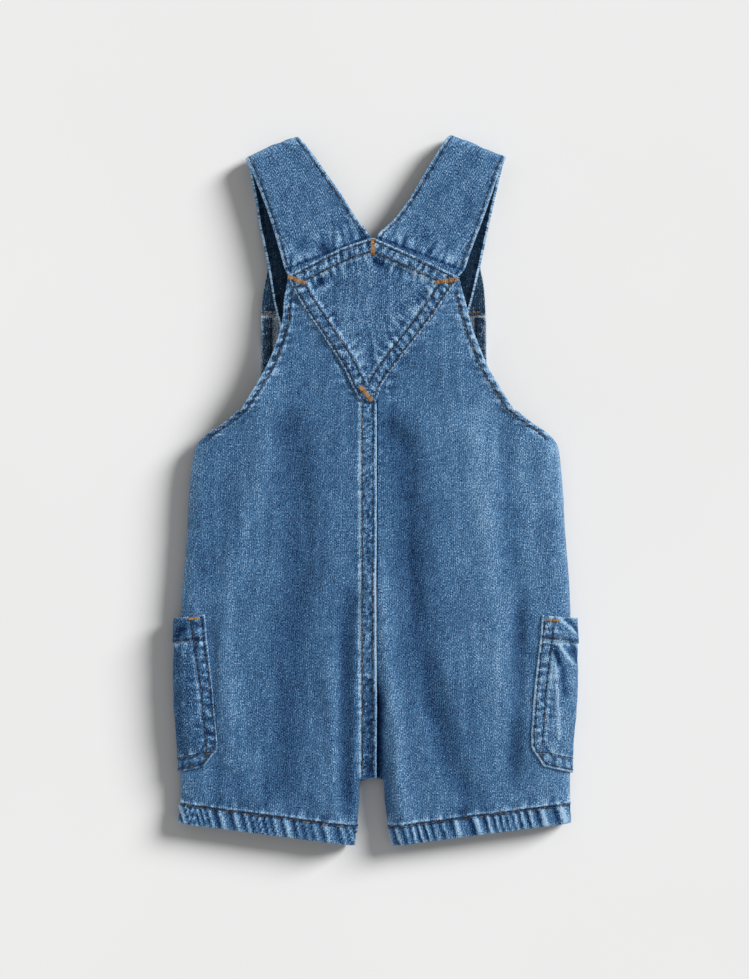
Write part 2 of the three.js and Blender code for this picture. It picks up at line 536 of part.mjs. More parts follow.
// A side of the garment cut across at a height: its outline's points from deep in the back,
// round the side, to deep in the front, each with its distance round from the side seam
function sideOutline(side, y) {
  const column = BACK.slice(SIDE_FROM).map((s) => ({ y: s.outY, x: side < 0 ? s.outL : s.outR }));
  const sideX = byHeight(column, "x", y);
  const depths = Array.from({ length: 46 }, (unused, k) => POCKET_REACH * (k / 45) ** 2);
  const back = depths.map((d) => [sideX - side * d, backLevel(side, SIDE_FROM, sideX - side * d, y, d)]);
  const front = depths.map((d) => [
    sideX - side * d,
    frontLevel(BIB.length, sideX - side * d, y, d, INSEAM_ROUND),
  ]);
  const points = [...back.toReversed(), ...front].map(([x, z]) => new THREE.Vector3(x, y, z));
  const round = [0];
  for (let k = 1; k < points.length; k += 1) {
    round.push(round[k - 1] + points[k].distanceTo(points[k - 1]));
  }
  const seamAt = round[back.length - 1];
  return { points, round: round.map((r) => seamAt - r) };
}

// The point of an outline at a distance round from the seam, moved out of the cloth
function roundSide(side, y, distance, out) {
  const { points, round } = sideOutline(side, y);
  let k = 1;
  while (k < round.length - 1 && round[k] > distance) k += 1;
  const t = clamp((round[k - 1] - distance) / (round[k - 1] - round[k]));
  const along = points[k].clone().sub(points[k - 1]).normalize();
  const normal = new THREE.Vector3(along.z, 0, -along.x).multiplyScalar(-side);
  return points[k - 1].clone().lerp(points[k], t).addScaledVector(normal, out);
}

// A pocket, wrapped round a side seam
function pocket(side) {
  const onBack = [1, 0.93, 0.8, 0.64, 0.48, 0.33, 0.2, 0.1, 0.04];
  const onFront = [0, -0.04, -0.1, -0.18, -0.28, -0.6, -1];
  const stops = [...onBack, ...onFront];
  const sewnAt = HALF + POCKET_GAP + POCKET / 2;
  const rowAt = (s) =>
    stops.map((t) => {
      const backReach = side < 0 ? s.backL : s.backR;
      const distance = t > 0 ? t * backReach : t * s.front;
      const y = t > 0 ? lerp(s.sideY, s.y, t) : s.sideY;
      const shape = ease(backReach, 2, distance) * ease(-POCKET_UNDER, 0, distance);
      const p = roundSide(side, y, distance, sewnAt + s.proud * shape);
      p.z = Math.max(p.z, POCKET / 2);
      return p;
    });
  const grid = POCKET_SECTIONS.map(rowAt);
  const outer = (row, j) => POCKET / 2 + (row < POCKET_HEM_ROWS && j < onBack.length ? TURNED : 0);
  return wall(grid, new THREE.Vector3(side, 0, 0), outer, () => -POCKET / 2);
}

// A body turned on an upright axis from its profile of radius and height
function turned(profile, x, y) {
  const points = profile.map(([r, z]) => new THREE.Vector2(r, z));
  const lathe = new THREE.LatheGeometry(points, BUTTON.segments);
  lathe.deleteAttribute("uv");
  lathe.deleteAttribute("normal");
  const whole = mergeVertices(lathe.rotateX(Math.PI / 2).translate(x, y, 0), 1e-4);
  const index = whole.index.array;
  const kept = [];
  for (let k = 0; k < index.length; k += 3) {
    const [a, b, c] = [index[k], index[k + 1], index[k + 2]];
    if (a !== b && b !== c && c !== a) kept.push(a, b, c);
  }
  whole.setIndex(kept);
  return facingOut(whole);
}

// A tack button: a domed cap, a shank and the tack's back
function button(place) {
  const { capR, cap, shankR, tackR, tackFrom, tackTo } = BUTTON;
  const profile = [
    [0, 0],
    [capR - 2.2, 0],
    [capR - 0.8, 0.35],
    [capR, 1.2],
    [capR - 0.3, cap - 0.5],
    [capR - 1.4, cap],
    [shankR, cap],
    [shankR, tackFrom],
    [tackR, tackFrom],
    [tackR, tackTo - 0.3],
    [tackR - 1.2, tackTo],
    [0, tackTo],
  ];
  return turned(profile, place.x, place.y);
}

// Solids for cutting
const solidOf = (geometry) =>
  new wasm.Manifold(
    new wasm.Mesh({
      numProp: 3,
      vertProperties: new Float32Array(geometry.attributes.position.array),
      triVerts: new Uint32Array(geometry.index.array),
    }),
  );
function meshOf(solid) {
  const mesh = solid.getMesh();
  const geometry = new THREE.BufferGeometry();
  geometry.setAttribute("position", new THREE.BufferAttribute(mesh.vertProperties, mesh.numProp));
  geometry.setIndex(Array.from(mesh.triVerts));
  return geometry;
}
function cutter(geometry, x, y) {
  geometry.deleteAttribute("uv");
  geometry.deleteAttribute("normal");
  return solidOf(mergeVertices(geometry.translate(x, y, 0), 1e-4));
}
const roundHole = (place) =>
  cutter(new THREE.CylinderGeometry(BUTTON.holeR, BUTTON.holeR, 60, 16).rotateX(Math.PI / 2), place.x, place.y);
const slit = (place) =>
  cutter(new THREE.BoxGeometry(BUTTONHOLE.length, BUTTONHOLE.width, 60), place.x + place.slitTo * (BUTTONHOLE.length / 2), place.y);

// A buttonhole is a round end with a slit from it; a strap is pierced by the shank alone
const [leftPlace, rightPlace] = BUTTON_PLACES;
const cut = (geometry, holes) => meshOf(holes.reduce((solid, hole) => solid.subtract(hole), solidOf(geometry)));
const buttonhole = (place) => [roundHole(place), slit(place)];

// Colours, roughness and shine of each kind of cloth and of the buttons
const FINISHES = {
  back: [0x4b6f96, 0.93, 0],
  front: [0x476c93, 0.93, 0],
  yoke: [0x486c92, 0.93, 0],
  strap: [0x4d6f92, 0.93, 0],
  facing: [0x4a6d93, 0.93, 0],
  pocket: [0x466c94, 0.93, 0],
  button: [0x9a8158, 0.42, 0.9],
};
const PIECES = [
  ["back_left", "back", backPanel(-1)],
  ["back_right", "back", backPanel(1)],
  ["yoke", "yoke", yoke()],
  ["strap_left", "strap", cut(strap("strap_left"), [roundHole(leftPlace)])],
  ["strap_right", "strap", cut(strap("strap_right"), [roundHole(rightPlace)])],
  ["front_left", "front", cut(frontPanel(-1), buttonhole(leftPlace))],
  ["front_right", "front", cut(frontPanel(1), buttonhole(rightPlace))],
  ["bib_facing", "facing", cut(bibFacing(), [...buttonhole(leftPlace), ...buttonhole(rightPlace)])],
  ["pocket_left", "pocket", pocket(-1)],
  ["pocket_right", "pocket", pocket(1)],
  [leftPlace.name, "button", button(leftPlace)],
  [rightPlace.name, "button", button(rightPlace)],
];

// The whole garment is moved so that the origin is the middle of what it covers
const box = new THREE.Box3();
for (const [, , geometry] of PIECES) {
  box.union(new THREE.Box3().setFromBufferAttribute(geometry.attributes.position));
}
const middle = box.getCenter(new THREE.Vector3());

const group = new THREE.Group();
for (const [name, finish, geometry] of PIECES) {
  geometry.translate(-middle.x, -middle.y, -box.min.z);
  const [color, roughness, metalness] = FINISHES[finish];
  const mesh = new THREE.Mesh(geometry, new THREE.MeshStandardMaterial({ color, roughness, metalness }));
  mesh.name = name;
  mesh.material.name = `${finish}_${name}`;
  group.add(mesh);
}

export default group;
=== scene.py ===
# %% [markdown]
# # A baby's denim shortalls, laid face down
#
# This lesson dresses a small garment that lies on a table with its back up. The solids of its pieces are
# loaded first and stay as they are. Each cloth piece is then modelled again as a fine grid of vertices,
# moved to the same places and given the wrinkles, turned edges and stitching of real washed denim.

# %% Load the frame
import math

import bmesh
import bpy
from mathutils import Matrix, Vector, noise
from mathutils.bvhtree import BVHTree


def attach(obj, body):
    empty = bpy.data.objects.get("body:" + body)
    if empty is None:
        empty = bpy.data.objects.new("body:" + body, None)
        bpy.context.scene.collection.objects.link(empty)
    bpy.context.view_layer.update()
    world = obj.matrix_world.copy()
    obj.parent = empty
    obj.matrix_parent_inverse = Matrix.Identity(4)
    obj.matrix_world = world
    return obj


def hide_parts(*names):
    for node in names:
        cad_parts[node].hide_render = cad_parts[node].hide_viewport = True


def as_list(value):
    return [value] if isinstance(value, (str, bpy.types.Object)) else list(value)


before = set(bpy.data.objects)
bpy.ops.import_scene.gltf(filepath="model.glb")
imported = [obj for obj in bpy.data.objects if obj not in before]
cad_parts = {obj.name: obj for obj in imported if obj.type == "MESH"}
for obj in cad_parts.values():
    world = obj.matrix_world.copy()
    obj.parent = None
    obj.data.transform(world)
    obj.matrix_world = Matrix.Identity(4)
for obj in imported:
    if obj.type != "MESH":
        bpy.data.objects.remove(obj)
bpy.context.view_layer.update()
print("solids:", sorted(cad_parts))

# %% [markdown]
# The photograph looks straight down. A camera with a long lens keeps the far and near parts of a flat
# thing at the same scale, so the picture is 0.64 mm to the pixel from the floor to the highest fold.
# The lens is worked out from how high the camera hangs and how much of the table it must see. The plain
# view transform keeps every colour as its material gives it, as a catalogue picture does.

# %% Camera
MM = 0.001
PICTURE = (749, 979)
MM_PER_PIXEL = 0.64
CAMERA_HEIGHT = 2.2
FOCUS_LEVEL = 0.012

camera_data = bpy.data.cameras.new("above")
camera = bpy.data.objects.new("above", camera_data)
bpy.context.scene.collection.objects.link(camera)
bpy.context.scene.camera = camera
camera.location = (-0.0007, 0.0002, CAMERA_HEIGHT)
camera_data.sensor_width = 36
seen_height = PICTURE[1] * MM_PER_PIXEL * MM
camera_data.lens = camera_data.sensor_width * (CAMERA_HEIGHT - FOCUS_LEVEL) / seen_height
camera_data.clip_end = 20
bpy.context.scene.view_settings.view_transform = "Standard"
print("lens:", round(camera_data.lens, 1), "mm, seeing", round(1000 * seen_height), "mm of the table's length")

# %% [markdown]
# The ground is a plain pale board. A catalogue picture is lit in two ways at once: a low lamp at the upper
# right draws the shadow on the table, to the left and below, and softer, higher lamps light the cloth from
# both sides so that its edges stay blue. Light linking gives each lamp its own part: one collection holds
# the floor, and a lamp either lights only that or everything else. The lamps are suns, equally strong all
# over the table; a sun's angle, its width as seen from the garment, makes the shadow's edge soft.

# %% Floor
floor_mesh = bmesh.new()
bmesh.ops.create_grid(floor_mesh, x_segments=1, y_segments=1, size=3.0)
floor_data = bpy.data.meshes.new("floor")
floor_mesh.to_mesh(floor_data)
floor_mesh.free()
floor = bpy.data.objects.new("floor", floor_data)
bpy.context.scene.collection.objects.link(floor)


# %% Light
def sun(name, from_x, from_y, height, width, share, on_floor):
    """A lamp from a direction, which gives flat ground this share of white light."""
    way = Vector((from_x, from_y, 0)).normalized() * math.cos(math.radians(height))
    way.z = math.sin(math.radians(height))
    data = bpy.data.lights.new(name, "SUN")
    data.energy, data.angle = share * math.pi / way.z, math.radians(width)
    made = bpy.data.objects.new(name, data)
    bpy.context.scene.collection.objects.link(made)
    made.rotation_mode = "QUATERNION"
    made.rotation_quaternion = way.to_track_quat("Z", "Y")
    lit = bpy.data.collections.new(name + " lights")
    lit.objects.link(floor)
    lit.collection_objects[0].light_linking.link_state = "INCLUDE" if on_floor else "EXCLUDE"
    made.light_linking.receiver_collection = lit


SKY = 0.30
sun("shadow lamp", 0.86, 0.5, 25.5, 23, 0.73, True)
sun("key lamp", 0.75, 0.66, 37, 24, 0.56, False)
sun("fill lamp", -0.9, -0.1, 48, 40, 0.19, False)
world = bpy.data.worlds.new("room")
bpy.context.scene.world = world
world.use_nodes = True
world.node_tree.nodes["Background"].inputs["Color"].default_value = (1.0, 0.995, 0.985, 1)
world.node_tree.nodes["Background"].inputs["Strength"].default_value = SKY

# %% [markdown]
# Shader maths reads best as ordinary expressions. This small class wraps a socket, so that `a * 2 + b`
# adds its own Math nodes, and its `node` method makes any other kind of node.

# %% A socket that can be reckoned with
class Wire:
    """A node's socket that adds, multiplies and so on in ordinary Python."""

    def __init__(self, tree, socket=None):
        self.tree, self.socket = tree, socket

    def node(self, kind, settings=None, inputs=None, out=0):
        """A new node of a kind, with its settings made first and then its sockets set or linked."""
        made = self.tree.nodes.new(kind)
        for name, value in (settings or {}).items():
            if name == "stops":
                ramp = made.color_ramp
                while len(ramp.elements) < len(value):
                    ramp.elements.new(0.5)
                for stop, (place, colour) in zip(ramp.elements, value):
                    stop.position = place
                    stop.color = (*colour, 1)
            else:
                setattr(made, name, value)
        for name, value in (inputs or {}).items():
            if isinstance(value, Wire):
                self.tree.links.new(value.socket, made.inputs[name])
            else:
                made.inputs[name].default_value = value
        return Wire(self.tree, made.outputs[out])

    def maths(self, operation, *others):
        return self.node("ShaderNodeMath", {"operation": operation}, dict(enumerate(others)))

    def __add__(self, other):
        return self.maths("ADD", self, other)

    def __sub__(self, other):
        return self.maths("SUBTRACT", self, other)

    def __rsub__(self, other):
        return self.maths("SUBTRACT", other, self)

    def __mul__(self, other):
        return self.maths("MULTIPLY", self, other)

    __radd__ = __add__
    __rmul__ = __mul__

    def sine(self):
        return self.maths("SINE", self)

    def held(self, low=0.0, high=1.0):
        """The value kept between two limits."""
        return self.maths("MINIMUM", self.maths("MAXIMUM", self, low), high)

    def speckle(self, u, v, across, along, detail=0.0):
        """Noise on a flat cloth, with grains of a given width and length in millimetres."""
        place = self.node("ShaderNodeCombineXYZ", None, {0: u * (1 / across), 1: v * (1 / along)})
        settings = {"noise_dimensions": "2D"}
        return self.node("ShaderNodeTexNoise", settings, {"Vector": place, "Scale": 1.0, "Detail": detail})


def new_material(name, **constants):
    """A material whose shader has its constant sockets set, and a wire to start from."""
    material = bpy.data.materials.new(name)
    material.use_nodes = True
    shader = material.node_tree.nodes["Principled BSDF"]
    for socket, value in constants.items():
        shader.inputs[socket.replace("_", " ")].default_value = value
    return material, Wire(material.node_tree), shader


def feed(material, shader, **wires):
    """Links wires to the sockets of a material's shader."""
    for socket, wire in wires.items():
        material.node_tree.links.new(wire.socket, shader.inputs[socket.replace("_", " ")])


# %% [markdown]
# Denim is woven from blue warp threads, which run the length of the garment, and white weft. Washing
# rubs the blue off wherever the cloth stands proud, so its colour goes from near-black indigo in the
# creases, through mid blue, to almost white on edges. Here one number, the tone, goes up that ladder:
# soft patches from the wash, long thin slubs in the warp, a fine grain, the warp's ribs with the twill's
# steps along them, and a number kept on each piece's vertices: the fading, and in places painted shade and painted
# light.

# %% Denim
RIB, TWILL_STEP = 1.30, 1.92


def denim(name, deep, middle, pale, worn, level=0.0, grain=1.0):
    """Washed denim, from the colour of its creases to the colour of its edges."""
    material, start, shader = new_material(name, Roughness=0.92)
    shader.inputs["Specular IOR Level"].default_value = 0.10
    flat = start.node("ShaderNodeUVMap", {"uv_map": "cloth"})
    split = start.node("ShaderNodeSeparateXYZ", None, {0: flat})
    u, v = Wire(split.tree, split.socket.node.outputs[0]), Wire(split.tree, split.socket.node.outputs[1])
    wear = start.node("ShaderNodeAttribute", {"attribute_name": "wear"}, None, 2)
    wash = start.speckle(u, v, 18, 30, 3.0) - 0.5
    blotch = start.speckle(u, v, 3.2, 4.6, 2.0) - 0.5
    slub = start.speckle(u, v, 0.48, 6.0, 1.0) - 0.5
    flecks = start.speckle(u + v * 0.35, v, 0.42, 1.05) - 0.5
    grains = start.speckle(u, v, 0.85, 1.6, 1.0) - 0.5
    drift = start.speckle(u, v, 4.0, 8.0, 1.0) * 6.0
    ribs = (u * (2 * math.pi / RIB) + drift).sine()
    twill = ribs * (v * (2 * math.pi / TWILL_STEP) - u * (math.pi / RIB) - drift).sine()
    weave = flecks * 1.25 + grains * 0.35 + slub * 0.62 + ribs * 0.08 + twill * 0.11
    tone = weave * grain + wash * 0.24 + blotch * 0.20 + wear * 0.33 + (0.44 + level)
    stops = [(0.0, deep), (0.45, middle), (0.80, pale), (1.0, worn)]
    colour = start.node("ShaderNodeValToRGB", {"stops": stops}, {0: tone.held()})
    height = flecks * 0.8 + grains * 0.4 + slub * 0.4 + ribs * 0.12 + twill * 0.16
    bump = start.node("ShaderNodeBump", None, {"Height": height, "Strength": 0.5, "Distance": 0.0005})
    feed(material, shader, Base_Color=colour, Normal=bump, Roughness=0.96 - wear.held() * 0.08)
    return material


def ladder(deep, middle, pale, worn):
    """The four colours that a cloth passes through as it fades."""
    return dict(deep=deep, middle=middle, pale=pale, worn=worn)


INDIGO = ladder((0.003, 0.018, 0.064), (0.048, 0.120, 0.243), (0.094, 0.238, 0.440), (0.37, 0.54, 0.71))
# painted shade: a darker indigo ladder for cloth that lies in shade, used for the bib's turned-in side hems, the
# bib facing and the straps' inner skin
INDIGO_IN_SHADE = ladder((0.003, 0.009, 0.022), (0.015, 0.041, 0.083), (0.050, 0.106, 0.182), (0.37, 0.50, 0.62))
REVERSE = ladder((0.030, 0.045, 0.075), (0.17, 0.22, 0.28), (0.36, 0.42, 0.48), (0.56, 0.60, 0.64))
back_cloth = denim("denim_back_panels", **INDIGO)
yoke_cloth = denim("denim_yoke", level=-0.06, grain=1.25, **INDIGO)
strap_cloth = denim("denim_straps", level=-0.03, grain=1.15, **INDIGO)
front_cloth = denim("denim_front_panels", **INDIGO)
pocket_cloth = denim("denim_pockets", level=-0.01, grain=1.15, **INDIGO)
turned_cloth_in_shade = denim("denim_turned_in", **INDIGO_IN_SHADE)
# painted shade: the bib facing, which lies in the shade beside the straps, is made darker
facing_cloth_in_shade = denim("denim_facing", level=-0.05, **INDIGO_IN_SHADE)
# painted shade: the straps' inner skin, which shows on the run that folds back down into the bib, is made darker
strap_underside_in_shade = denim("denim_strap_underside", level=-0.30, **INDIGO_IN_SHADE)
wrong_side = denim("denim_wrong_side", grain=1.3, **REVERSE)
print("cloths:", [m.name for m in bpy.data.materials if m.name.startswith("denim")])

# %% [markdown]
# The sewing thread has aged nearly to black and shows a pale tan where it is rubbed. The bartacks, short
# bars of dense stitching that stop a corner from tearing, keep their bright orange-tan. Both are one
# finish in two pairs of colours, mixed by a fine noise and by a tone that each stitch is given.

# %% Thread
def thread(name, dark, light, share):
    """Thread whose stitches differ a little from each other and along themselves."""
    material, start, shader = new_material(name, Roughness=0.62)
    place = start.node("ShaderNodeTexCoord", None, None, 3)
    grain = start.node("ShaderNodeTexNoise", None, {"Vector": place, "Scale": 900.0, "Detail": 1.0})
    tone = start.node("ShaderNodeAttribute", {"attribute_name": "wear"}, None, 2)
    mixed = (grain * 0.8 + tone * 0.9 - share).held()
    stops = [(0.0, dark), (1.0, light)]
    feed(material, shader, Base_Color=start.node("ShaderNodeValToRGB", {"stops": stops}, {0: mixed}))
    return material


seam_thread = thread("thread_seams", (0.009, 0.012, 0.022), (0.27, 0.250, 0.225), 0.86)
bar_thread = thread("thread_bartacks", (0.15, 0.062, 0.016), (0.70, 0.38, 0.14), 0.50)
print("threads:", seam_thread.name, bar_thread.name)

# %% [markdown]
# The board on the floor is matt and nearly white. A very faint mottle keeps it from looking like paper.

# %% Floor finish
board, start, shader = new_material("pale_board", Roughness=0.9)
place = start.node("ShaderNodeTexCoord", None, None, 3)
mottle = start.node("ShaderNodeTexNoise", None, {"Vector": place, "Scale": 3.0, "Detail": 3.0})
stops = [(0.3, (0.80, 0.80, 0.80)), (0.7, (0.83, 0.83, 0.83))]
feed(board, shader, Base_Color=start.node("ShaderNodeValToRGB", {"stops": stops}, {0: mottle}))
floor.data.materials.append(board)

# %% [markdown]
# The shape of the laid garment is written once, in millimetres, as plain functions: how high the back
# lies, how it turns over at the sides, how it sinks into the crotch. The tables give each panel's two
# ends at a number of sections from the shoulders to the hem, and a smooth curve runs between the rows.

# %% Sizes
# from the tables' own zero to the middle of the solids
SHIFT = Vector((0.6456, 1.0887, 0.0))
# half a layer's thickness, what a turned edge adds, and the air between layers and at the seams
HALF, TURNED, GAP, SEAM_GAP = 0.6, 0.8, 0.3, 0.3
# how far in from an edge the cloth starts to turn over, and how much the middle of the back stands up
SIDE_ROUND, FRONT_ROUND, INSEAM_ROUND = 11, 7, 9
CROWN, HALF_WIDTH = 2.2, 125
# widths of the turned edges, and of the small step where one ends
LAP, ARMHOLE_HEM, LEG_HEM, BIB_HEM, YOKE_BAND = 9.9, 5.4, 12.8, 7, 8.8
STEP = 0.8
# how far pockets and buttons lift the front, and the pocket's own gap, thickness and reach under the side
POCKET_LIFT, BUTTON_LIFT, POCKET_GAP, POCKET, POCKET_UNDER = 1.6, 3.0, 0.4, 1.2, 9
CROTCH_LEFT = -9.1
# rows of the back's table where the yoke's corner and tip, the side seam and the crotch are
YOKE_CORNER, YOKE_TIP, SIDE_FROM, CROTCH_FROM = 1, 8, 12, 26
FACING_Y = 113.6
BUTTON_PLACES = {"button_left": (-49, 133), "button_right": (48, 133)}

# %% Tables
# y, height of the back, height of the side seams
HEIGHTS = [
    (230, 13.5, 6.3), (130, 15.0, 6.3), (30, 15.0, 6.3), (-60, 15.0, 6.3), (-140, 14.0, 6.2), (-184, 12.8, 5.8),
    (-230, 10.4, 5.2),
]
# y, how deep the fold that runs down to the crotch is, and its x on the right
VALLEY = [(-80, 0, 1.8), (-115, 0.14, 2.0), (-145, 0.42, 2.8), (-168, 0.72, 4.6), (-184, 1, 5.8)]
# outer end: y, left x, right x; inner end: y, left x, right x
BACK = [
    (136.2, -55.5, 54.0, 134.8, -47.5, 45.8),
    (127.6, -57.0, 56.3, 128.6, -43.6, 41.0),
    (122.6, -57.9, 57.7, 124.0, -41.0, 38.0),
    (112.0, -58.6, 60.4, 113.0, -34.5, 30.6),
    (102.0, -60.9, 63.4, 101.5, -27.5, 22.6),
    (91.5, -64.2, 67.4, 90.0, -20.6, 13.6),
    (79.7, -69.3, 72.4, 77.5, -14.5, 4.4),
    (66.6, -76.6, 80.2, 66.0, -8.6, -0.6),
    (53.6, -84.9, 88.4, 57.0, 1.3, 1.8),
    (52.2, -85.9, 89.4, 55.6, 1.3, 1.8),
    (43.2, -96.0, 100.5, 46.0, 1.3, 1.8),
    (36.6, -106.1, 110.1, 36.0, 1.3, 1.8),
    (29.1, -113.5, 116.6, 27.0, 1.3, 1.8),
    (13.8, -116.9, 119.1, 13.0, 1.3, 1.8),
    (-2.9, -118.5, 120.4, -3.0, 1.3, 1.8),
    (-25.3, -119.6, 121.6, -25.0, 1.3, 1.8),
    (-47.0, -121.3, 123.4, -47.0, 1.3, 1.8),
    (-63.0, -122.7, 124.5, -63.0, 1.3, 1.8),
    (-80.3, -123.7, 125.1, -80.0, 1.3, 1.8),
    (-100.0, -124.3, 125.6, -100.0, 1.3, 1.8),
    (-120.0, -124.6, 125.8, -120.0, 1.3, 1.8),
    (-139.0, -124.6, 125.6, -140.0, 1.3, 1.8),
    (-156.0, -124.5, 125.3, -158.0, 1.3, 1.8),
    (-168.0, -124.4, 125.1, -171.0, 1.3, 1.8),
    (-174.0, -124.3, 125.0, -178.5, 1.3, 1.8),
    (-177.0, -124.2, 124.9, -182.0, 1.3, 1.8),
    (-178.0, -124.2, 124.9, -183.2, 1.3, 1.8),
    (-178.8, -124.2, 124.9, -184.6, -9.7, 6.4),
    (-187.0, -124.0, 124.8, -196.0, -10.5, 6.9),
    (-193.6, -123.8, 124.8, -205.0, -11.1, 8.0),
    (-199.1, -123.8, 124.8, -213.0, -11.6, 9.5),
    (-199.9, -123.8, 124.8, -213.8, -11.8, 9.8),
    (-212.3, -124.6, 124.8, -226.6, -14.4, 13.2),
]
# the bib and front armholes: y, left x, right x
BIB = [
    (150.7, -67.8, 66.9), (142.0, -69.1, 68.3), (131.7, -71.0, 70.3), (122.6, -72.4, 71.0), (113.2, -73.0, 71.5),
    (100.0, -73.1, 71.8), (86.0, -73.1, 72.0), (73.0, -73.5, 72.5), (61.0, -75.2, 74.3), (50.0, -79.0, 78.5),
    (41.5, -85.5, 86.0), (35.5, -94.0, 96.0), (31.6, -104.0, 107.0),
]
FRONT_SHIFT = len(BIB) - SIDE_FROM
FRONT = [(y, left, right, y, -0.15, 0.15) for y, left, right in BIB]
FRONT += [(*row[:4], -0.15, 0.15) for row in BACK[SIDE_FROM:CROTCH_FROM + 1]] + BACK[CROTCH_FROM + 1:]
# the long soft folds: height, width, then where each runs as (y, x)
FOLDS = [
    (2.2, 9, [(70, -70), (20, -71), (-40, -87), (-105, -95), (-175, -92)]),
    (-2.5, 11, [(50, -56), (20, -51), (-5, -46.5), (-57, -47.5), (-108, -52.5), (-159, -57), (-200, -60)]),
    (-1.0, 8, [(30, -86), (-10, -93), (-60, -104)]),
    (-3.7, 4.8, [(-66, -15), (-85, -17), (-130, -18.3), (-205, -17.3)]),
    (1.5, 5, [(-85, -28.5), (-150, -27.5), (-222, -25.5)]),
    (2.9, 5.2, [(-52, 5), (-82, 6), (-108, 7.5), (-133, 11), (-159, 14.5), (-222, 19)]),
    (
        -3.2, 9,
        [(46, 12), (20, 20.7), (-31, 23.3), (-57, 25.9), (-82, 28.4), (-133, 36), (-159, 46), (-205, 60)],
    ),
    (0.7, 5, [(-138, 29), (-159, 34), (-200, 40)]),
    (2.2, 11, [(46, 59), (20, 66), (-5, 71), (-57, 75), (-108, 79), (-145, 83)]),
    (-1.6, 7, [(55, 80), (20, 84), (-20, 85), (-60, 89)]),
    (-3.4, 4.8, [(-68, 92.5), (-120, 91.5), (-185, 89.5)]),
    (-1.8, 4, [(-72, -106), (-120, -103), (-180, -99.5)]),
]
# a fold comes and goes over this length at its ends
FOLD_FADE = 26
print("rows:", len(BACK), "down the back,", len(FRONT), "down the front, and", len(FOLDS), "long folds")


# %% [markdown]
# Between two rows of a table the curve is a Hermite one whose slopes never overshoot, so a straight edge
# stays straight and a curved one has no corners.

# %% Curves between the rows of a table
def clamp(x, low=0.0, high=1.0):
    return min(high, max(low, x))


def lerp(a, b, t):
    return a + (b - a) * t


def ease(start, end, x):
    t = clamp((x - start) / (end - start))
    return t * t * (3 - 2 * t)


def between(table, column, at):
    """A column of a table at a row number that may be a fraction."""
    last = len(table) - 1
    i = int(clamp(math.floor(at), 0, last - 1))
    t = clamp(at - i)

    def step(k):
        return table[k + 1][column] - table[k][column]

    def slope(k):
        if k == 0 or k == last:
            return step(min(k, last - 1))
        before, after = step(k - 1), step(k)
        return 0.0 if before * after <= 0 else 2 * before * after / (before + after)

    rise = t * t * (3 - 2 * t)
    leaving, arriving = slope(i) * t * (1 - t) ** 2, slope(i + 1) * t * t * (1 - t)
    return lerp(table[i][column], table[i + 1][column], rise) + leaving - arriving


def by_height(table, column, y):
    """A column of a table whose rows run from a high y to a low one."""
    i = 0
    while i < len(table) - 2 and y < table[i + 1][0]:
        i += 1
    return lerp(table[i][column], table[i + 1][column], ease(table[i][0], table[i + 1][0], y))


def folds_at(x, y):
    """The height of the long soft folds at a place on the back."""
    height, half = 0.0, FOLD_FADE / 2
    for tall, width, path in FOLDS:
        top, bottom = path[0][0], path[-1][0]
        if not bottom - half < y < top + half:
            continue
        beside = (x - by_height(path, 1, y)) / width
        if abs(beside) < 2.6:
            fade = ease(top + half, top - half, y) * ease(bottom - half, bottom + half, y)
            height += tall * fade * math.exp(-beside * beside)
    return height


def back_height(x, y):
    return by_height(HEIGHTS, 1, y) + CROWN * (1 - (x / HALF_WIDTH) ** 2) + folds_at(x, y)


def drop(distance, reach):
    """How far a cloth that turns over at an edge has dropped, from 1 at the edge to 0."""
    return 1 - math.sqrt(max(0.0, 1 - clamp(1 - distance / reach) ** 2))


def front_lift(x, y):
    """The front lies on the floor, on its pockets and on its buttons."""
    over_pocket = ease(78, 90, abs(x)) * ease(-66, -75, y) * ease(-192, -184, y)
    return max(POCKET_LIFT * over_pocket, BUTTON_LIFT * ease(88, 110, y))


def back_level(side, section, x, y, from_out):
    """The height of the back cloth's middle."""
    seam = by_height(HEIGHTS, 2, y) + SEAM_GAP
    z = back_height(x, y)
    z -= (z - seam) * ease(SIDE_FROM - 4, SIDE_FROM, section) * drop(from_out, SIDE_ROUND)
    above = section <= CROTCH_FROM + 0.5
    raised = (HALF + GAP) * (1 - ease(CROTCH_FROM, CROTCH_FROM + 3, section))
    valley_x = CROTCH_LEFT if side < 0 else by_height(VALLEY, 2, y)
    edge_x = valley_x if above else between(BACK, 4 if side < 0 else 5, section)
    lowest = seam + raised
    depth = by_height(VALLEY, 1, y) if above else 1.0
    return z - depth * (z - lowest) * drop(max(0.0, (x - edge_x) * side), INSEAM_ROUND)


def front_level(section, x, y, from_out, from_in):
    """The height of the front cloth's middle."""
    seam = by_height(HEIGHTS, 2, y) - SEAM_GAP
    z = HALF + front_lift(x, y)
    z += (seam - z) * ease(len(BIB) - 3, len(BIB), section) * drop(from_out, FRONT_ROUND)
    return z + (seam - z) * drop(from_in, INSEAM_ROUND)


# %% [markdown]
# Each cloth piece is a grid of places on the middle of its cloth, plus a few numbers kept at every place,
# such as how far it is from a hem. The piece's own finisher turns those numbers into a height above the
# cloth, where it puckers or has a turned edge, and into how worn the blue is, with painted shade and
# painted light added in a few places. bmesh makes the flat grid, its vertices are moved to their places,
# and a Solidify modifier gives the cloth its thickness, double where an edge is turned. It gives the inner
# skin the next material in the list, the grey wrong side, but the faces of a turned edge start further
# down the list and are blue on both sides.

# %% A cloth piece
# a piece whose cloth is nowhere thicker than this has no turned edge
HAS_TURNED = 1.5


def wave(along, across, seed):
    """Uneven ripples between -1 and 1, one unit to half a ripple."""
    return 1.9 * noise.noise(Vector((along, across, seed)))


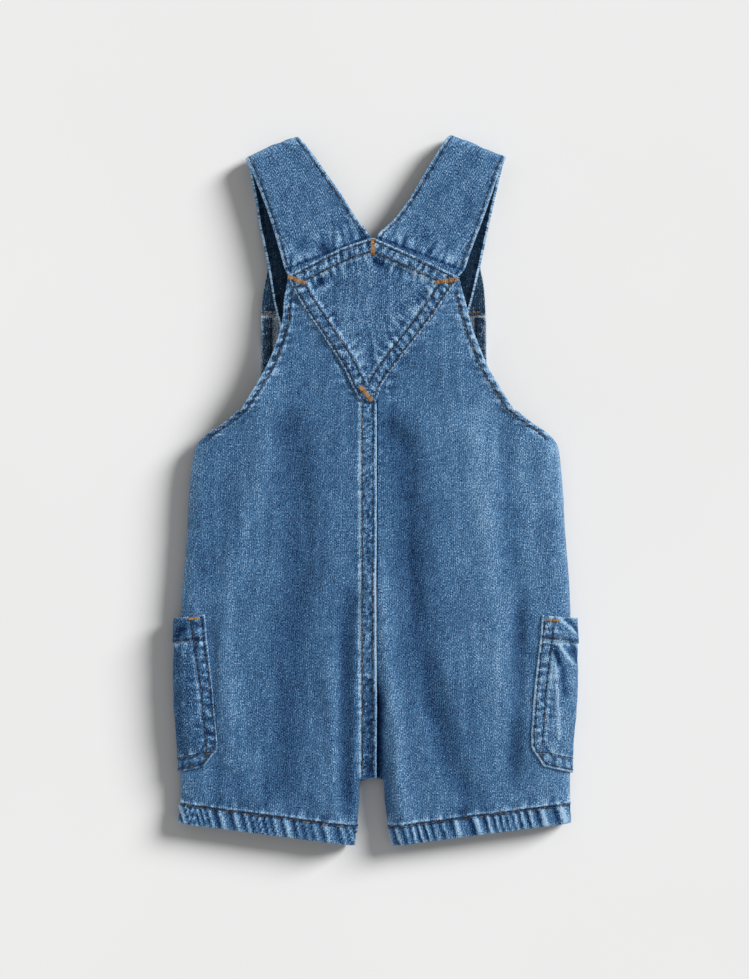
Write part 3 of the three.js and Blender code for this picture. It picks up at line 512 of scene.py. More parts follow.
class Cloth:
    """A grid of places in millimetres with numbers kept at each, made into a mesh with a wall."""

    def __init__(self, name, places, facing):
        self.name, self.middle = name, places
        self.rows, self.cols = len(places), len(places[0])
        self.flat = self.unrolled()
        centre = self.normal(self.rows // 2, self.cols // 2)
        self.sign = -1.0 if centre.dot(Vector(facing)) < 0 else 1.0

    def normal(self, i, j):
        rows, cols, p = self.rows, self.cols, self.middle
        down = p[min(i + 1, rows - 1)][j] - p[max(i - 1, 0)][j]
        along = p[i][min(j + 1, cols - 1)] - p[i][max(j - 1, 0)]
        return along.cross(down).normalized()

    def unrolled(self):
        """Where each place lies on the flat cloth: across the row from its middle, and along the y axis."""
        flat = []
        for row in self.middle:
            run = [0.0]
            for a, b in zip(row, row[1:]):
                run.append(run[-1] + (b - a).length)
            start = row[0].x
            way = -1.0 if row[-1].x < start else 1.0
            flat.append([(start + way * r, p.y) for r, p in zip(run, row)])
        return flat

    def finish(self, finisher):
        """Lifts each place along its normal and keeps its wear with any painted shade and light, and its
        thickness.
        """
        self.outer, self.normals, self.wear, self.thick = [], [], [], []
        for i in range(self.rows):
            cells = [finisher(i, j, self.middle[i][j]) for j in range(self.cols)]
            ways = [self.normal(i, j) * self.sign for j in range(self.cols)]
            self.outer.append([p + n * c[0] for p, n, c in zip(self.middle[i], ways, cells)])
            self.normals.append(ways)
            self.wear.append([c[1] for c in cells])
            self.thick.append([c[2] for c in cells])

    def build(self, cloth, inside, slot, node, turned=None):
        """The mesh, with its flat places as a UV map and its wear with painted shade and light as an attribute."""
        bm = bmesh.new()
        uv = bm.loops.layers.uv.new("cloth")
        fade = bm.verts.layers.float.new("wear")
        group = bm.verts.layers.deform.new()
        bmesh.ops.create_grid(bm, x_segments=self.cols - 1, y_segments=self.rows - 1, size=0.5)
        low = min(v.co.x for v in bm.verts), min(v.co.y for v in bm.verts)
        size = max(v.co.x for v in bm.verts) - low[0], max(v.co.y for v in bm.verts) - low[1]
        most = max(max(row) for row in self.thick)
        spot = {}
        for v in bm.verts:
            j = round((v.co.x - low[0]) / size[0] * (self.cols - 1))
            i = round((v.co.y - low[1]) / size[1] * (self.rows - 1))
            spot[v] = i, j
        for v, (i, j) in spot.items():
            v.co = (self.outer[i][j] - SHIFT) * MM
            v[fade] = self.wear[i][j]
            v[group][0] = self.thick[i][j] / most
        for face in bm.faces:
            face.smooth = True
            thick = 0.0
            for loop in face.loops:
                i, j = spot[loop.vert]
                loop[uv].uv = self.flat[i][j]
                thick += self.thick[i][j] / 4
            face.material_index = 2 if thick > most - 0.5 * TURNED and most > HAS_TURNED else 0
        bm.normal_update()
        i, j = self.rows // 2, self.cols // 2
        centre = (self.outer[i][j] - SHIFT) * MM
        face = min(bm.faces, key=lambda f: (f.calc_center_median() - centre).length)
        if face.normal.dot(self.normals[i][j]) < 0:
            bmesh.ops.reverse_faces(bm, faces=bm.faces)
        data = bpy.data.meshes.new(self.name)
        bm.to_mesh(data)
        bm.free()
        made = bpy.data.objects.new(self.name, data)
        bpy.context.scene.collection.objects.link(made)
        made.vertex_groups.new(name="layers")
        for material in (cloth, inside, cloth, turned or cloth):
            data.materials.append(material)
        wall = made.modifiers.new("wall", "SOLIDIFY")
        wall.thickness, wall.offset = most * MM, -1
        wall.vertex_group, wall.material_offset = "layers", 1
        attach(made, "root")
        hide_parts(node)
        self.object = made
        print(self.name, "grid", self.rows, "by", self.cols)
        return made

    def line(self, field, value, rows=None, cols=None):
        """Points and normals where a number kept on the grid takes a value, one in each row or column."""
        found = []
        if rows:
            ways = [[(i, j) for j in range(self.cols)] for i in rows]
        else:
            ways = [[(i, j) for i in range(self.rows)] for j in cols]
        for way in ways:
            for (a, b), (c, d) in zip(way, way[1:]):
                one, two = field[a][b] - value, field[c][d] - value
                if one * two <= 0 and one != two:
                    t = one / (one - two)
                    at = self.outer[a][b].lerp(self.outer[c][d], t)
                    found.append((at, self.normals[a][b].lerp(self.normals[c][d], t).normalized()))
                    break
        return found


# %% [markdown]
# A panel's row runs from its inner end to its outer one. Its places crowd together near both ends, where
# the hems and the turn of the cloth need them, and are further apart between.

# %% Rows of a panel
def spread(end, spacing):
    count = round(end / spacing)
    return [end * k / count for k in range(count + 1)]


def turn_stops(reach, end, count, spacing):
    """Stops that are even round a quarter turn, then even on the flat."""
    round_the_turn = [reach * (1 - math.cos(math.pi / 2 * k / count)) for k in range(count)]
    return round_the_turn + [reach + s for s in spread(end - reach, spacing)]


def leg_stops(stops, shift, reach, count, spacing):
    """Stops for a leg, whose inner end lies further out: those short of the shift gather at its edge."""
    gathered = [0.03 * k for k, stop in enumerate(stops) if stop < shift]
    left = len(stops) - len(gathered)
    beyond = turn_stops(reach, reach + spacing * (left - count + 1), count, spacing)
    return gathered + [gathered[-1] + 0.2 + stop for stop in beyond[:left]]


def mix(a, b, t):
    """Two lists of stops mixed, when they have the same number of stops."""
    return [lerp(x, y, t) for x, y in zip(a, b)]


def across(table, section, side, inner, outer, middles):
    """One row: place, distance from the inner end and distance from the outer end."""
    left = side < 0
    start = Vector((between(table, 4 if left else 5, section), between(table, 3, section)))
    end = Vector((between(table, 1 if left else 2, section), between(table, 0, section)))
    length = (end - start).length
    share = [0.5 + 0.3 * k / (len(outer) - 1) for k in range(len(outer))]
    room = [min(d, length * s) for d, s in zip(outer, share)]
    stop = length - room[-1]
    fit = min(1.0, (stop - 0.3) / inner[-1])
    runs = [d * fit for d in inner]
    runs += [lerp(runs[-1], stop, k / (middles + 1)) for k in range(1, middles + 1)]
    runs += [length - d for d in reversed(room)]
    return [(start.lerp(end, d / length), d, length - d) for d in runs]


def sections(table, spacing):
    """Row numbers down a table, close enough together for the wrinkles."""
    made = []
    for k, (a, b) in enumerate(zip(table, table[1:])):
        far = max(math.hypot(a[0] - b[0], a[1] - b[1]), abs(a[3] - b[3]))
        count = max(1, math.ceil(far / spacing))
        made += [k + n / count for n in range(count)]
    return made + [len(table) - 1]


# %% [markdown]
# A twin row of stitches draws the cloth in, so it sinks under the thread and puckers between and beside
# the rows. A turned hem also twists into slanting ropes. The ridges of both were rubbed pale in the wash
# and their hollows stayed dark, and these two functions give the height and the fading together.

# %% Puckers
def bump_at(distance, place, width):
    """One at a place and none beyond a width from it."""
    return math.exp(-(((distance - place) / width) ** 2))


def banded(along, inward, width, rows, seed, size=1.0, beat=5.4):
    """Height and wear of a band with its edge at 0: pale edge, sunk stitch rows and puckers between."""
    turn = 2 * math.pi * ((along + 0.3 * inward) / beat + 0.5 * wave(along / 13, 0.5, seed + 2))
    puff = 0.6 * math.sin(turn) + 0.55 * wave(along / 2.6, inward / 4.2, seed)
    small = wave(along / 1.3, inward / 1.5, seed + 9)
    inside = clamp(1 - abs(inward / width - 0.5) * 2) ** 0.5 if 0 < inward < width else 0.0
    sunk = sum(bump_at(inward, row, 0.6) for row in rows)
    height = size * (0.40 * puff + 0.14 * small) * inside - 0.30 * sunk - 0.30 * bump_at(inward, 0, 0.5)
    wear = size * (1.2 * puff + 0.8 * small + 0.1) * inside - 1.0 * sunk
    wear += 1.7 * bump_at(inward, 0.35, 0.85) * (0.95 + 0.2 * puff)
    return height, wear


def crinkled(along, inward, width, seed):
    """Height and wear of a flat-felled strip, which shrinks into fine slanting crinkles."""
    fine = wave((along + 0.45 * inward) / 1.25, inward / 3.4, seed)
    fine += 0.6 * wave(along / 3.4, inward / 2.6, seed + 1)
    inside = ease(0.4, 1.6, inward) * ease(width - 0.2, width - 1.6, inward)
    return 0.26 * fine * inside, (1.15 * fine - 0.05) * inside


def beside_band(along, beyond, seed, reach=6.0, size=1.0):
    """Height and wear of the single cloth next to a band, in short rays that fade out."""
    if beyond < 0 or beyond > reach * 2.2:
        return 0.0, 0.0
    fade = math.exp(-((beyond / reach) ** 1.5))
    ray = wave(along / 2.7, beyond / 9, seed) + 0.35 * wave(along / 1.5, beyond / 5, seed + 1)
    pale = bump_at(beyond, 1.1, 0.9)
    return size * 0.36 * ray * fade, size * (1.15 * ray * fade + 0.85 * pale)


def roped(along, up, depth, seed):
    """Height and wear of a twisted hem, with its edge at 0 and its stitching at its depth."""
    slant = along + 0.27 * up
    turn = slant / 5.8 + 1.1 * wave(slant / 26, 0.5, seed)
    ridge, part = 0.5 + 0.5 * wave(math.floor(turn) * 1.7, 0.5, seed + 3), turn - math.floor(turn)
    rope = (0.6 + 1.3 * ridge) * bump_at(part, 0.22, 0.13) - (0.6 + ridge) * bump_at(part, 0.88, 0.12)
    rope += 0.5 * (0.5 - part)
    sharp = clamp(1.15 * rope + 0.22 * wave(slant / 1.6, up / 26, seed + 5), -1.2, 1.45)
    inside = ease(depth + 0.5, depth - 2.0, up) * lerp(0.6, 1.0, ease(0, 4, up))
    sunk = bump_at(up, depth - 0.6, 0.9)
    wear = (1.45 * sharp - 0.08) * inside - 1.0 * sunk + 1.2 * bump_at(up, 0.1, 0.8)
    return 0.55 * sharp * inside - 0.30 * sunk, wear


# %% [markdown]
# The back is two panels. The left one laps over the right in a flat-felled seam, ten millimetres wide
# with its free edge on the right, and each ends below in a leg with a turned hem. Their armholes have a
# narrow double-turned hem. Both panels use one maker, which knows the side it works on.

# %% Back panels
def leg_edge(table, side, x):
    """The height up the garment of the leg's bottom edge at a place across."""
    low = table[-1]
    inner, outer = (low[4], low[1]) if side < 0 else (low[5], low[2])
    return lerp(low[3], low[0], clamp((x - inner) / (outer - inner)))


def panel_grid(table, side, inner_stops, outer_stops, middles, level, spacing):
    """The rows, distances and places of a panel."""
    numbers = sections(table, spacing)
    cells, places = [], []
    for section in numbers:
        row = across(table, section, side, inner_stops(section), outer_stops(section), middles)
        cells.append(row)
        places.append([Vector((*p, level(section, *p, from_out, from_in))) for p, from_in, from_out in row])
    ends = [row[-1][0] for row in cells]
    run = [0.0]
    for a, b in zip(ends, ends[1:]):
        run.append(run[-1] + (b - a).length)
    return numbers, cells, places, run


def back_panel(name, side, seed):
    seam = spread(30, 0.95)
    hemmed = spread(15, 0.8)
    turned = turn_stops(SIDE_ROUND, 16, 11, 0.65)[: len(hemmed)]
    leg = leg_stops(seam, 11.0 if side < 0 else 4.7, INSEAM_ROUND, 9, 0.9)
    numbers, cells, places, run = panel_grid(
        BACK, side,
        lambda s: mix(seam, leg, ease(CROTCH_FROM, CROTCH_FROM + 1, s)),
        lambda s: mix(hemmed, turned, ease(SIDE_FROM - 3, SIDE_FROM, s)),
        54, lambda s, x, y, from_out, from_in: back_level(side, s, x, y, from_out), 1.45,
    )
    piece = Cloth(name, places, (0, 0, 1))

    def finisher(i, j, p):
        section, (_, from_in, from_out) = numbers[i], cells[i][j]
        above_crotch = section <= CROTCH_FROM + 0.3
        up = p.y - leg_edge(BACK, side, p.x)
        seam_on = ease(57.2, 55.2, p.y) if above_crotch else 0.0
        lap = seam_on * (1 - ease(LAP, LAP + STEP, from_in)) if side < 0 else 0.0
        open_edge = 1 - ease(SIDE_FROM - 1, SIDE_FROM, section)
        arm = open_edge * ease(YOKE_CORNER, YOKE_CORNER + 1, section)
        arm *= 1 - ease(ARMHOLE_HEM, ARMHOLE_HEM + STEP, from_out)
        hem = 1 - ease(LEG_HEM, LEG_HEM + STEP, up)
        double = max(lap, arm, hem)
        crumple = 0.16 * wave(p.x / 7, p.y / 12, seed) + 0.10 * wave(p.x / 3.1, p.y / 7, seed + 2)
        streak = wave(p.x / 4.5, p.y / 55, seed + 4)
        height = crumple + 0.08 * streak
        fold = folds_at(p.x, p.y)
        # ridges of the long folds paler and hollows darker: partly wash fading, partly painted light and shade
        # that deepens the folds' shading
        wear = 0.24 * fold if fold < 0 else 0.15 * fold
        # painted light: the right of the back, towards the lamps, is made paler, more so higher up; the streaks
        # and crumples fade at random
        wear += 0.18 * streak + 0.5 * crumple + lerp(0.2, 0.46, ease(-60, 20, p.y)) * ease(25, 80, p.x)
        if side < 0 and seam_on:
            h, w = crinkled(p.y, from_in, LAP, seed + 11)
            for size, at, wide in ((2.6, 0.35, 0.8), (-0.7, 2.1, 0.6), (-0.35, 8.9, 0.6)):
                w += size * bump_at(from_in, at, wide)
            w -= 1.1 * ease(-112, -135, p.y) * bump_at(from_in, 3.0, 3.4)
            height, wear = height + h * seam_on, wear + w * seam_on
            h, w = beside_band(p.y, from_in - LAP, seed + 13, 3.0, 0.8)
            w += (1.25 + 0.5 * wave(p.y / 5, 0.5, seed + 15)) * bump_at(from_in - LAP, 0.7, 1.1)
            height, wear = height + h, wear + w
        if side > 0 and seam_on:
            h, w = beside_band(p.y, from_in, seed + 13, 4.0, 0.35)
            # painted shadow: the right panel is darker right beside the lap's free edge, and in a wider dark slot
            # lower down towards the crotch, where the cloth also sinks
            slot = ease(-112, -140, p.y) * bump_at(from_in, 0, 3.6)
            height, wear = height + h - 1.4 * slot, wear + w - 0.5 * bump_at(from_in, 0, 0.9) - 2.2 * slot
        if open_edge:
            h, w = banded(run[i], from_out, ARMHOLE_HEM, (4.4,), seed + 17, 1.35, beat=6.0)
            b, c = beside_band(run[i], from_out - ARMHOLE_HEM, seed + 19, 4.5)
            fade = open_edge * ease(0.4, 1.4, section)
            height, wear = height + (h + b) * fade, wear + (w + c) * fade
        if section < YOKE_TIP + 0.2:
            h, w = beside_band(p.y * 1.2, from_in - 7.4, seed + 23, 5.0, 0.8)
            height, wear = height + h, wear + w
        h, w = roped(p.x, up, LEG_HEM, seed + 29)
        b, c = beside_band(p.x, up - LEG_HEM, seed + 31, 4.5, 1.2)
        height, wear = height + h + b, wear + w + c
        # the turned-over sides are paler: partly rubbed wear along the side seams, partly painted light where the
        # cloth turns away from the lamps
        if not open_edge:
            wear += 0.35 * bump_at(from_out, 0, 1.6) + 0.45 * bump_at(from_out, 0, 6)
        if not above_crotch:
            wear += 0.25 * bump_at(from_in, 0, 1.4)
        return HALF + TURNED * double + height, wear, 2 * HALF + TURNED * double

    piece.finish(finisher)
    piece.from_in = [[c[1] for c in row] for row in cells]
    piece.from_out = [[c[2] for c in row] for row in cells]
    piece.up = [[p.y - leg_edge(BACK, side, p.x) for p in row] for row in places]
    piece.numbers = numbers
    return piece


back_left = back_panel("back_left_denim", -1, 3.0)
back_left.build(back_cloth, wrong_side, "denim_back", "back_left")
back_right = back_panel("back_right_denim", 1, 57.0)
back_right.build(back_cloth, wrong_side, "denim_back", "back_right")


# %% [markdown]
# The front lies underneath, on the floor, and nothing but its edges shows from above. It is cut like the
# back but runs up into the bib, whose sides are hemmed and whose top is turned in and stitched down.
# Its outside faces the floor, so the wall grows upwards from there, and the hems of the bib's sides, which
# lie in the shade of the straps, have a darker cloth on their inner skin: painted shade.

# %% Front panels
def front_panel(name, side, seed):
    hemmed = spread(16, 0.95)
    turned = turn_stops(FRONT_ROUND, 22, 8, 1.6)[: len(hemmed)]
    seam = spread(24, 1.1)
    leg = leg_stops(seam, 9.6 if side < 0 else 6.3, INSEAM_ROUND, 7, 1.2)
    crotch = CROTCH_FROM + FRONT_SHIFT
    crotch_y = FRONT[crotch][3]
    in_edge = CROTCH_LEFT if side < 0 else 5.8

    def level(section, x, y, from_out, from_in):
        beside = max(0.0, (x - in_edge) * side)
        from_crotch = math.hypot(beside, y - crotch_y)
        joined = ease(crotch, crotch + 1, section)
        return front_level(section, x, y, from_out, lerp(from_crotch, from_in, joined))

    numbers, cells, places, run = panel_grid(
        FRONT, side,
        lambda s: mix(seam, leg, ease(crotch, crotch + 1, s)),
        lambda s: mix(hemmed, turned, ease(len(BIB) - 2, len(BIB), s)),
        36, level, 2.2,
    )
    piece = Cloth(name, places, (0, 0, -1))

    def finisher(i, j, p):
        section, (_, from_in, from_out) = numbers[i], cells[i][j]
        up = p.y - leg_edge(FRONT, side, p.x)
        bib_rows = 1 - ease(len(BIB) - 1, len(BIB), section)
        edge = bib_rows * (1 - ease(BIB_HEM, BIB_HEM + STEP, from_out))
        under_facing = ease(FACING_Y - 1.8, FACING_Y - 0.8, p.y)
        hem = 1 - ease(LEG_HEM, LEG_HEM + STEP, up)
        double = max(edge * (1 - under_facing), hem)
        crumple = 0.5 * wave(p.x / 8, p.y / 13, seed)
        h, w = roped(p.x, up, LEG_HEM, seed + 2)
        b, c = beside_band(p.x, up - LEG_HEM, seed + 3, 5.0, 0.8)
        e, f = banded(run[i], from_out, BIB_HEM, (5.8,), seed + 4, 0.7)
        height = min(0.0, 0.12 * crumple + 0.5 * (h + b)) + 0.35 * e * bib_rows
        wear = 0.25 * crumple + w + c + (f + 0.1) * bib_rows
        if section > 1:
            wear += 0.25 * bump_at(from_in, 0, 0.8)
        return HALF + height, wear, 2 * HALF + TURNED * double

    piece.finish(finisher)
    piece.from_out = [[c[2] for c in row] for row in cells]
    piece.from_in = [[c[1] for c in row] for row in cells]
    piece.up = [[p.y - leg_edge(FRONT, side, p.x) for p in row] for row in places]
    piece.numbers = numbers
    return piece


front_left = front_panel("front_left_denim", -1, 101.0)
# the inner skin of the turned edges gets the darker cloth: painted shade on the bib's side hems beside the straps
front_left.build(front_cloth, wrong_side, "denim_front", "front_left", turned_cloth_in_shade)
front_right = front_panel("front_right_denim", 1, 151.0)
front_right.build(front_cloth, wrong_side, "denim_front", "front_right", turned_cloth_in_shade)

# %% [markdown]
# The bib's top is turned to the inside and stitched down, and that deep hem shows beside the straps. It
# could be a thicker part of the fronts, but as a strip of its own it has its own edge and a darker cloth: painted
# shade.

# %% Bib facing
def bib_facing(name, seed):
    numbers = [3.95 * k / 30 for k in range(31)]
    places = []
    for section in numbers:
        y, left, right = (between(FRONT, column, section) for column in (0, 1, 2))
        xs = [lerp(left + 0.4, right - 0.4, k / 100) for k in range(101)]
        places.append([Vector((x, y, HALF + front_lift(0, y))) for x in xs])
    piece = Cloth(name, places, (0, 0, 1))
    low = places[-1][0].y

    def finisher(i, j, p):
        h, w = banded(p.x, p.y - low, 5.0, (1.6,), seed, 0.8)
        ends = min(j, 100 - j) * 1.4
        wear = w + 0.2 * bump_at(ends, 0, 1.2) + 0.15 * wave(p.x / 9, p.y / 9, seed)
        return HALF + GAP + 1.0 + 0.6 * h, wear, 1.0

    piece.finish(finisher)
    piece.up = [[p.y - low for p in row] for row in places]
    return piece


facing = bib_facing("bib_facing_denim", 201.0)
facing.build(facing_cloth_in_shade, wrong_side, "denim_facing", "bib_facing")


# %% [markdown]
# Each strap is two layers with the edges turned in and topstitched. It comes out from under the yoke,
# narrows towards the shoulder, folds over and runs back down inside the bib to its button. Every row of
# the table is one line across the strap, from its armhole edge to its neck edge.

# %% Straps
# outer edge x, y; inner edge x, y; height
STRAPS = {
    "strap_left": [
        (-54.9, 137.8, -2.9, 156.4, 15.6), (-57.2, 141.8, -3.0, 163.0, 15.6), (-60.8, 154.2, -12.3, 175.8, 15.0),
        (-66.5, 173.1, -21.1, 189.8, 14.2), (-72.6, 190.0, -30.2, 202.8, 13.2), (-78.6, 204.8, -41.2, 218.4, 12.2),
        (-81.3, 210.8, -46.4, 224.6, 11.2), (-82.2, 212.2, -48.0, 226.5, 8.6), (-82.4, 212.6, -48.4, 226.9, 6.2),
        (-82.0, 211.8, -47.8, 226.0, 3.6), (-81.2, 209.0, -46.8, 223.6, 1.5), (-79.6, 202.0, -45.4, 215.0, 1.0),
        (-76.6, 187.0, -42.6, 197.0, 1.3), (-73.9, 170.0, -39.6, 178.0, 4.2), (-70.8, 155.5, -36.6, 162.0, 6.8),
        (-67.8, 140.0, -33.4, 146.0, 6.8), (-64.2, 119.4, -29.8, 126.0, 6.8), (-60.9, 106.0, -27.0, 113.0, 6.8),
        (-57.2, 91.5, -23.4, 98.5, 6.8),
    ],
    "strap_right": [
        (53.3, 137.0, 0.9, 156.4, 15.6), (57.0, 141.0, 1.4, 162.8, 15.6), (61.8, 154.0, 12.0, 173.8, 15.0),
        (68.2, 171.0, 21.4, 186.0, 14.2), (74.8, 189.5, 31.5, 203.0, 13.2), (80.6, 206.0, 41.0, 218.6, 12.2),
        (83.2, 211.8, 46.0, 226.2, 11.2), (84.0, 213.2, 47.6, 227.8, 8.6), (84.2, 213.5, 48.0, 228.2, 6.2),
        (83.6, 212.8, 47.6, 227.3, 3.6), (82.6, 210.0, 46.8, 224.0, 1.5), (80.7, 202.3, 45.6, 214.6, 1.0),
        (77.2, 187.0, 42.8, 197.0, 1.3), (73.5, 171.0, 39.4, 179.0, 4.2), (70.2, 155.5, 35.9, 162.4, 6.8),
        (66.8, 140.0, 32.6, 147.0, 6.8), (62.2, 121.0, 28.2, 128.4, 6.8), (57.6, 106.5, 24.0, 115.0, 6.8),
        (52.6, 92.0, 19.4, 101.0, 6.8),
    ],
}
STRAP_BOW = {"strap_left": 1.6, "strap_right": 0.3}
STRAP_HALF = 1.0


def strap(node, seed):
    table = STRAPS[node]
    numbers = []
    for k, (a, b) in enumerate(zip(table, table[1:])):
        far = max(math.dist((a[c], a[c + 1], a[4]), (b[c], b[c + 1], b[4])) for c in (0, 2))
        count = max(2, math.ceil(far / 1.5))
        numbers += [k + n / count for n in range(count)]
    numbers.append(len(table) - 1)
    stops = [0.5 - 0.5 * math.cos(math.pi * k / 40) for k in range(41)]
    stops = [lerp(k / 40, stop, 0.45) for k, stop in enumerate(stops)]
    places = []
    for s in numbers:
        out_x, out_y, in_x, in_y, z = (between(table, column, s) for column in range(5))
        bowed = STRAP_BOW[node] * ease(3, 7, s) * ease(11, 9, s)
        row = []
        for t in stops:
            x, y = lerp(out_x, in_x, t), lerp(out_y, in_y, t) + bowed * math.sin(math.pi * t)
            row.append(Vector((x, y, lerp(z, back_height(x, y) - (STRAP_HALF - HALF), ease(1.6, 0.4, s)))))
        places.append(row)
    piece = Cloth(node + "_denim", places, (0, 0, 1))
    # the middle row is on the fold, so the outside is told from a row on the back, a sixth of the way
    piece.sign = -1.0 if piece.normal(len(numbers) // 6, 20).z < 0 else 1.0
    run = [0.0]
    for a, b in zip(places, places[1:]):
        run.append(run[-1] + (b[20] - a[20]).length)
    start = next(r for r, s in zip(run, numbers) if s >= 1)
    widths = [(row[-1] - row[0]).length for row in places]
    piece.flat = [[((stop - 0.5) * width, -far) for stop in stops] for width, far in zip(widths, run)]

    def finisher(i, j, p):
        inward = min(stops[j], 1 - stops[j]) * widths[i]
        edge = 0 if stops[j] < 0.5 else 40
        h, w = banded(run[i] + edge, inward, 4.6, (2.6,), seed, 0.75)
        b, c = (0, 0)
        if numbers[i] >= 1:
            b, c = beside_band(stops[j] * widths[i], run[i] - start, seed + 3, 11.0, 1.25)
        long_fold = 0.28 * wave(stops[j] * 5.2, run[i] / 26, seed + 5)
        crumple = 0.16 * wave(stops[j] * widths[i] / 5, run[i] / 6, seed + 7)
        wear = 0.18 + w + 1.2 * c + 0.75 * long_fold + 0.9 * crumple
        wear += 0.6 * ease(5.2, 6.6, numbers[i]) * ease(9.0, 7.4, numbers[i])
        # painted shadow of the yoke's edge: a dark line on the strap just beyond where it comes out from under the
        # yoke
        wear -= 2.0 * bump_at(run[i] - start, 0.4, 1.4)
        return STRAP_HALF + h + b + long_fold + crumple - 0.45 * bump_at(inward, 0, 0.5), wear, 2 * STRAP_HALF

    piece.finish(finisher)
    piece.left = [[stop * width for stop in stops] for width in widths]
    piece.right = [[(1 - stop) * width for stop in stops] for width in widths]
    piece.numbers = numbers
    return piece


strap_left = strap("strap_left", 301.0)
# the strap's inner skin gets the darker cloth: painted shade on the run that folds back under
strap_left.build(strap_cloth, strap_underside_in_shade, "denim_strap", "strap_left", strap_underside_in_shade)
strap_right = strap("strap_right", 351.0)
strap_right.build(strap_cloth, strap_underside_in_shade, "denim_strap", "strap_right", strap_underside_in_shade)


# %% [markdown]
# The yoke is a kite laid over the ends of the panels and the straps. Its grid is a Coons patch: two
# surfaces ruled between opposite edges are added, and the one ruled between the corners is taken away.
# How far a place is from the kite's edge then says whether it is on the stiff band or on the soft middle.

# %% Yoke
UPPER_LEFT = [(-55.6, 137.6), (-42.6, 144.6), (-30.0, 151.0), (-16.0, 157.2), (-0.9, 161.9)]
UPPER_RIGHT = [(-0.9, 161.9), (14.0, 155.4), (28.4, 149.0), (42.3, 142.6), (54.4, 136.4)]
LOWER_LEFT = [
    (-55.6, 137.6), (-49.0, 124.0), (-34.7, 101.8), (-20.4, 79.9), (-12.7, 64.3), (-8.9, 58.6), (1.0, 57.3),
]
LOWER_RIGHT = [
    (54.4, 136.4), (46.9, 126.0), (35.5, 109.4), (20.7, 89.9), (13.0, 80.0), (4.4, 66.8), (1.0, 57.3),
]
# how high the middle of the yoke, inside its stiff band, lies above the back
YOKE_SETTLED = 0.8


def drawn(points, count=60):
    """An edge drawn smoothly through a few points, cut into even steps."""
    steps = range(12 * (len(points) - 1) + 1)
    fine = [Vector((between(points, 0, k / 12), between(points, 1, k / 12))) for k in steps]
    run = [0.0]
    for a, b in zip(fine, fine[1:]):
        run.append(run[-1] + (b - a).length)
    made, k = [], 0
    for n in range(count + 1):
        want = run[-1] * n / count
        while k < len(run) - 2 and run[k + 1] < want:
            k += 1
        made.append(fine[k].lerp(fine[k + 1], clamp((want - run[k]) / (run[k + 1] - run[k]))))
    return made


def along_edge(edge, t):
    at = clamp(t) * (len(edge) - 1)
    k = min(int(at), len(edge) - 2)
    return edge[k].lerp(edge[k + 1], at - k)


def nearest(point, path):
    """Distance from a drawn path, and how far along it that is."""
    best, at, run = 1e9, 0.0, 0.0
    for a, b in zip(path, path[1:]):
        step = b - a
        length = step.length
        t = clamp((point - a).dot(step) / (length * length))
        away = (point - a - step * t).length
        if away < best:
            best, at = away, run + length * t
        run += length
    return best, at


# where each crease starts and ends, its half width and how far it stands up
YOKE_CREASES = [
    (-38.0, 131.0, -27.0, 139.0, 1.7, -1.3), (-37.0, 127.0, -25.0, 134.0, 1.2, 0.9),
    (-1.0, 147.0, 5.0, 144.5, 1.8, -1.3), (9.0, 144.0, 14.0, 138.0, 1.2, 0.8),
    (22.0, 139.0, 28.0, 133.0, 1.6, -1.0),
]
# the pinched folds that meet at the tip: how far each leans, and 1 for a ridge or -1 for a hollow
TIP_FOLDS = ((0.22, 1), (0.05, -1), (-0.35, 1))


def creased(table, x, y):
    """How far the creases of a table lift or sink the cloth at a place."""
    return sum(
        size * bump_at(nearest(Vector((x, y)), [Vector((x0, y0)), Vector((x1, y1))])[0], 0, wide)
        for x0, y0, x1, y1, wide, size in table
    )


